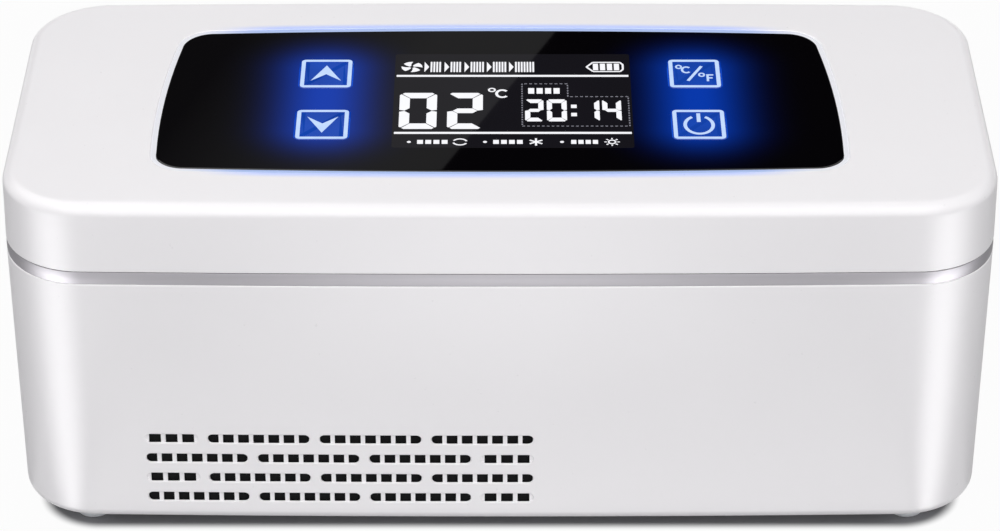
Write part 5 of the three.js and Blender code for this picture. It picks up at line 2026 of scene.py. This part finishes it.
    def clock_box(self) -> list[Outline]:
        """Gives the dashed outline round the clock, with a tab at its upper left.

        Returns:
            Closed outlines.
        """
        outlines: list[Outline] = []
        for (x0, y0), (x1, y1) in zip(self.box_corners, self.box_corners[1:]):
            dashes = int(math.hypot(x1 - x0, y1 - y0))
            for dash in range(dashes):
                shares = (dash / dashes, (dash + self.dash_share) / dashes)
                ends = [(x0 + (x1 - x0) * share, y0 + (y1 - y0) * share) for share in shares]
                outlines.append(stroke(*ends[0], *ends[1], self.dash_line))
        return outlines

    def build(self) -> None:
        """Builds the window and the lit artwork."""
        box, margin = NodeBox.of("display_glass"), self.window_margin
        at = (box.middle.x, box.middle.y)
        plan = Plan(box.size.x / 2 - margin, box.size.y / 2 - margin, self.window_corner)
        low, high = self.surface - self.ink, self.surface + self.ink
        window = inlay("display_window", [plan.ring(0.0, CELL_STEPS)], at, (low, high))
        place(window, Body.LID, DISPLAY_CELL)
        end, half = self.rule_half, self.rule_width / 2
        artwork = {
            "display_rules": [box_outline(-end, level - half, end, level + half) for level in self.rules],
            "display_tab_label": self.label(*self.tab_label),
            "display_reading": self.reading(),
            "display_clock": self.clock(),
            "display_fan_level": self.fan_level(),
            "display_battery": self.battery(),
            "display_modes": self.modes(),
            "display_clock_box": self.clock_box(),
        }
        for name, outlines in artwork.items():
            finish = DIM_SEGMENT if name == "display_clock_box" else SEGMENT
            piece = inlay(name, outlines, at, (low, self.surface + 2 * self.ink))
            place(piece, Body.LID, finish)


@dataclass
class Works:
    """Inner pieces that keep the frame's solids, with eased edges where something shows them."""

    # Words in the names of the nodes that stay, by finish.
    KEPT: ClassVar[Mapping[Finish, Sequence[str]]] = {
        FOAM: ("insulation_tub", "peltier_seal", "lid_foam"),
        ANODISED_TRAY: ("cold_block",),
        CERAMIC: ("peltier_module",),
        CELL_SLEEVE: ("battery_cell",),
        CIRCUIT_BOARD: ("main_board", "control_board"),
        DISPLAY_GLASS: ("display_glass",),
        DIFFUSER: ("display_backlight",),
        PLATED_STEEL: ("screw", "hinge_pin"),
        NICKEL: ("magnet",),
        BLACK_NYLON: ("key_switch", "battery_holder"),
    }

    nodes: Nodes
    sink_edge: float = 0.15
    fan_edge: float = 0.2
    rotor_edge: float = 0.15

    def build(self) -> None:
        """Eases the nodes that the outlet and inlet slots show, and dresses those that stay."""
        for node, name, edge, body, finish, slot in (
            ("heat_sink", "finned_sink", self.sink_edge, Body.CASE, EXTRUDED_SINK, "anodised_aluminium"),
            ("fan_frame", "fan_housing", self.fan_edge, Body.CASE, BLACK_NYLON, "black_plastic"),
            ("fan_rotor", "fan_wheel", self.rotor_edge, Body.FAN, BLACK_NYLON, "black_plastic"),
        ):
            place_eased(self.nodes, node, name, edge, body, finish)
        for finish, words in self.KEPT.items():
            for name in self.nodes:
                if any(word in name for word in words):
                    materials = self.nodes[name].data.materials
                    materials.clear()
                    materials.append(finish.material())
                    LOG.info("%s keeps its solid in %s", name, finish.name)


@dataclass(frozen=True)
class Card:
    """Reflection card that only polished surfaces see.

    Attributes:
        name: Object name.
        corners: Corners in metres.
        depth: Its thickness.
        start: Place along the direction in which its light changes, in metres, and the light there.
        end: Place where the change ends, and the light there.
        across: That direction.
        both_ways: True lets the light change alike to both sides of the middle.
    """

    name: str
    corners: Sequence[Point3]
    depth: CardDepth
    start: Point
    end: Point
    across: Point3 = (1.0, 0.0, 0.0)
    both_ways: bool = False

    @classmethod
    def even(cls, name: str, corners: Sequence[Point3], depth: CardDepth, light: float) -> Card:
        """Gives a card of even light."""
        return cls(name, corners, depth, (0.0, light), (1.0, light))

    def build(self) -> None:
        """Stands the card, out of the camera's sight and outside the diffuse light."""
        near = [Vector(corner) for corner in self.corners]
        far = [corner + Vector(self.depth.value) for corner in near]
        shape = Shape()
        shape.loft([[corner / MM for corner in ring] for ring in (near, far)])
        card = shape.done(self.name)
        values = {
            "Base Color": srgb("020202"),
            "Roughness": 1.0,
            "Specular IOR Level": 0.0,
            "Emission Color": srgb("FFFFFF"),
        }
        paint = Surface.start(self.name, values)
        where = paint.where
        if self.both_ways:
            where = add_node(paint.tree, "ShaderNodeVectorMath", {0: where}, operation="ABSOLUTE").outputs[0]
        direction = {0: where, 1: self.across}
        along = add_node(paint.tree, "ShaderNodeVectorMath", direction, operation="DOT_PRODUCT")
        levels = {
            "Value": along.outputs["Value"],
            "From Min": self.start[0],
            "From Max": self.end[0],
            "To Min": self.start[1],
            "To Max": self.end[1],
        }
        light = add_node(paint.tree, "ShaderNodeMapRange", levels)
        paint.drive("Emission Strength", light.outputs["Result"])
        card.data.materials.append(paint.made)
        card.visible_camera = False
        card.visible_diffuse = False
        card.visible_shadow = False


@dataclass(frozen=True)
class SoftBox:
    """Soft box of the studio.

    Attributes:
        name: Lamp name.
        at: Place in metres.
        size: Width and height in metres.
        power: Power in watts.
        aim: Point in metres that it faces.
    """

    name: str
    at: Point3
    size: Point
    power: float
    aim: Point3 = (0.0, 0.0, 0.04)

    def build(self) -> None:
        """Hangs the box."""
        light = bpy.data.lights.new(self.name, "AREA")
        light.shape = "RECTANGLE"
        light.size, light.size_y = self.size
        light.energy = self.power
        lamp = bpy.data.objects.new(self.name, light)
        lamp.location = self.at
        lamp.rotation_euler = (Vector(self.aim) - Vector(self.at)).to_track_quat("-Z", "Y").to_euler()
        bpy.context.scene.collection.objects.link(lamp)


@dataclass
class Studio:
    """Pale floor, soft boxes, cards for the reflections, and the camera.

    The floor, the cards and the boxes are in metres, the camera and the edges of the painted shadow in
    millimetres.
    """

    form: CaseForm
    elevation: float = 31.8
    distance: float = 816.0
    aim_z: float = 40.0
    lens: float = 135.0
    sensor: float = 36.0
    floor_half: float = 6.0
    floor_squares: int = 8
    floor_white: float = 0.97
    # How far inside the case's edge the floor's white is gone and where it is full again: the edges of the
    # painted shadow.
    shadow_from: float = 5.8
    shadow_to: float = 2.6
    ambient: float = 0.38
    back_box: tuple[float, ...] = (-0.9, 0.16, 0.9, 0.62)
    back_y: float = 0.6
    slant: tuple[Point, ...] = ((-0.9, 0.28), (0.0944, 0.28), (-0.1348, 0.6), (-0.9, 0.6))
    slant_y: float = 0.59
    grey_box: tuple[float, ...] = (-0.16, -0.3, 0.16, -0.06)
    low_box: tuple[float, ...] = (-0.09, -0.11, 0.09, -0.05)
    flank_box: tuple[float, ...] = (0.104, -0.03, 0.35, 0.3)
    flank_light: float = 0.5
    strip_from: Point = (0.09, -0.043)
    strip_turn: float = 47.0
    strip_reach: Point = (0.004, 0.2)
    strip_fans: tuple[Point, ...] = ((36.0, 2.6), (25.0, 4.6), (13.0, 6.6))
    card_step: float = 0.001
    boxes: tuple[SoftBox, ...] = (
        SoftBox("overhead_box", (-0.6, 0.1, 1.0), (1.4, 1.1), 5.2, aim=(0.0, 0.0, 0.05)),
        SoftBox("high_box", (0.0, -0.85, 1.0), (1.6, 0.9), 9.2),
        SoftBox("front_box", (0.0, -1.25, 0.42), (0.9, 0.24), 3.4),
        SoftBox("right_box", (1.2, -0.2, 0.5), (0.8, 0.6), 2.0),
        SoftBox("rear_box", (0.3, 1.3, 0.45), (1.2, 0.5), 4.5),
    )

    def seen(self, tree: Tree) -> Socket:
        """Tells camera, glossy and transmission rays, which see a white background, from the others.

        Args:
            tree: Node tree that gets the nodes.

        Returns:
            One for those rays, zero for the others.
        """
        path = add_node(tree, "ShaderNodeLightPath")
        seen = path.outputs["Is Camera Ray"]
        for kind in ("Is Glossy Ray", "Is Transmission Ray"):
            either = {0: seen, 1: path.outputs[kind]}
            seen = add_node(tree, "ShaderNodeMath", either, operation="MAXIMUM").outputs[0]
        return seen

    def world(self) -> None:
        """Lights the scene from all round, and shows white to the camera and in reflections."""
        world = bpy.data.worlds.new("studio")
        world.use_nodes = True
        tree = world.node_tree
        tree.nodes.clear()
        fill = add_node(tree, "ShaderNodeBackground", {"Color": srgb("F8F8F9"), "Strength": self.ambient})
        white = add_node(tree, "ShaderNodeBackground", {"Color": srgb("FFFFFF"), "Strength": 1.0})
        shares = {0: self.seen(tree), 1: fill.outputs[0], 2: white.outputs[0]}
        mixed = add_node(tree, "ShaderNodeMixShader", shares)
        add_node(tree, "ShaderNodeOutputWorld", {"Surface": mixed.outputs[0]})
        bpy.context.scene.world = world

    def floor(self) -> None:
        """Lays the pale floor, which reads white to the camera but not over the case's footprint, where the
        lamps' shadow stays and is painted darker.
        """
        shape = Shape()
        side, count = self.floor_half / MM, self.floor_squares
        steps = [side * (2 * n / count - 1) for n in range(count + 1)]
        rows = [[shape.bm.verts.new(Vector((x, y, 0.0)) * MM) for x in steps] for y in steps]
        for low, high in zip(rows, rows[1:]):
            for square in zip(low, low[1:], high[1:], high):
                shape.bm.faces.new(square)
        floor = shape.done("floor")
        # Painted shadow: the white fades out over the case's footprint, and the grey paper deepens the lamps'
        # shadow left there.
        paper = Surface.start("floor_paper", {"Base Color": srgb("808083"), "Roughness": 0.8})
        tree, plan = paper.tree, self.form.plan
        half = (plan.half_x - plan.radius, plan.half_y - plan.radius)
        run = {
            "Value": box_distance(tree, paper.where, (0.0, 0.0), half),
            "From Min": (plan.radius - self.shadow_from) * MM,
            "From Max": (plan.radius - self.shadow_to) * MM,
            "To Max": self.floor_white,
        }
        fade = add_node(tree, "ShaderNodeMapRange", run, interpolation_type="SMOOTHSTEP")
        both = {0: self.seen(tree), 1: fade.outputs["Result"]}
        share = add_node(tree, "ShaderNodeMath", both, operation="MULTIPLY")
        white = add_node(tree, "ShaderNodeEmission", {"Color": srgb("FFFFFF"), "Strength": 1.0})
        looks = {0: share.outputs[0], 1: paper.shader.outputs[0], 2: white.outputs[0]}
        mixed = add_node(tree, "ShaderNodeMixShader", looks)
        tree.links.new(mixed.outputs[0], tree.nodes["Material Output"].inputs["Surface"])
        floor.data.materials.append(paper.made)

    def standing(self, outline: Iterable[Point], y: float) -> list[Point3]:
        """Gives the corners of an upright card from pairs of X and Z."""
        return [(x, y, z) for x, z in outline]

    def lying(self, outline: Iterable[Point], layer: int, side: int = 1) -> list[Point3]:
        """Gives the corners of a card on the floor from pairs of X and Y; a side of -1 mirrors it."""
        return [(side * x, y, self.card_step * layer) for x, y in outline]

    def strip(self, spread: float) -> Outline:
        """Gives the outline of a bright strip's fan at the right corner.

        Args:
            spread: Half its angle in degrees.

        Returns:
            Corners in metres.
        """
        x, y = self.strip_from
        near, far = self.strip_reach
        outline: Outline = []
        for reach, turn in ((near, -spread), (far, -spread), (far, spread), (near, spread)):
            angle = math.radians(self.strip_turn + turn)
            outline.append((x + reach * math.sin(angle), y - reach * math.cos(angle)))
        return outline

    def cards(self) -> list[Card]:
        """Sets out the cards: two behind, two on the floor in front, and the strips beside both corners.

        Returns:
            The cards in order.
        """
        upright, flat = CardDepth.UPRIGHT, CardDepth.FLAT
        dark = self.standing(box_outline(*self.back_box), self.back_y)
        dim = self.standing(self.slant, self.slant_y)
        grey = self.lying(box_outline(*self.grey_box), 1)
        low = self.lying(box_outline(*self.low_box), 2)
        made = [
            Card.even("dark_card", dark, upright, 0.0),
            Card("dim_card", dim, upright, (0.174, 0.024), (0.252, 0.165), across=(1.0, 0.0, 0.716)),
            Card("grey_card", grey, flat, (0.01, 3.3), (0.085, 0.35), both_ways=True),
            Card("low_card", low, flat, (0.05, 2.4), (0.11, 0.9), across=(0.0, -1.0, 0.0)),
        ]
        for side, hand in ((-1, "left"), (1, "right")):
            flank = self.lying(box_outline(*self.flank_box), 1, side)
            made.append(Card.even(f"{hand}_dark_strip", flank, flat, self.flank_light))
            for number, (spread, light) in enumerate(self.strip_fans):
                fan = self.lying(self.strip(spread), 2 + number, side)
                made.append(Card.even(f"{hand}_bright_strip_{number}", fan, flat, light))
        return made

    def camera(self) -> None:
        """Places the camera at the photograph's view."""
        lens = bpy.data.cameras.new("camera")
        lens.lens = self.lens
        lens.sensor_width = self.sensor
        lens.sensor_fit = "HORIZONTAL"
        camera = bpy.data.objects.new("camera", lens)
        tilt = math.radians(self.elevation)
        aim = Vector((0.0, 0.0, self.aim_z))
        camera.location = (aim + Vector((0.0, -math.cos(tilt), math.sin(tilt))) * self.distance) * MM
        camera.rotation_euler = (math.pi / 2 - tilt, 0.0, 0.0)
        bpy.context.scene.collection.objects.link(camera)
        bpy.context.scene.camera = camera

    def build(self) -> None:
        """Sets up the whole studio."""
        bpy.context.scene.view_settings.view_transform = "Standard"
        self.world()
        self.floor()
        for item in (*self.cards(), *self.boxes):
            item.build()
        self.camera()


def main() -> None:
    """Builds every sub-assembly in order."""
    logging.basicConfig(level=logging.INFO, format="%(name)s: %(message)s")
    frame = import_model()
    nodes = frame["nodes"]
    form = CaseForm()
    Studio(form).build()
    panel = ControlPanel()
    CaseBody(form, nodes).build()
    ColdCompartment(nodes).build()
    Lid(form, panel.plan, nodes).build()
    panel.build()
    Display(panel.surface).build()
    Works(nodes).build()


if __name__ == "__main__":
    main()
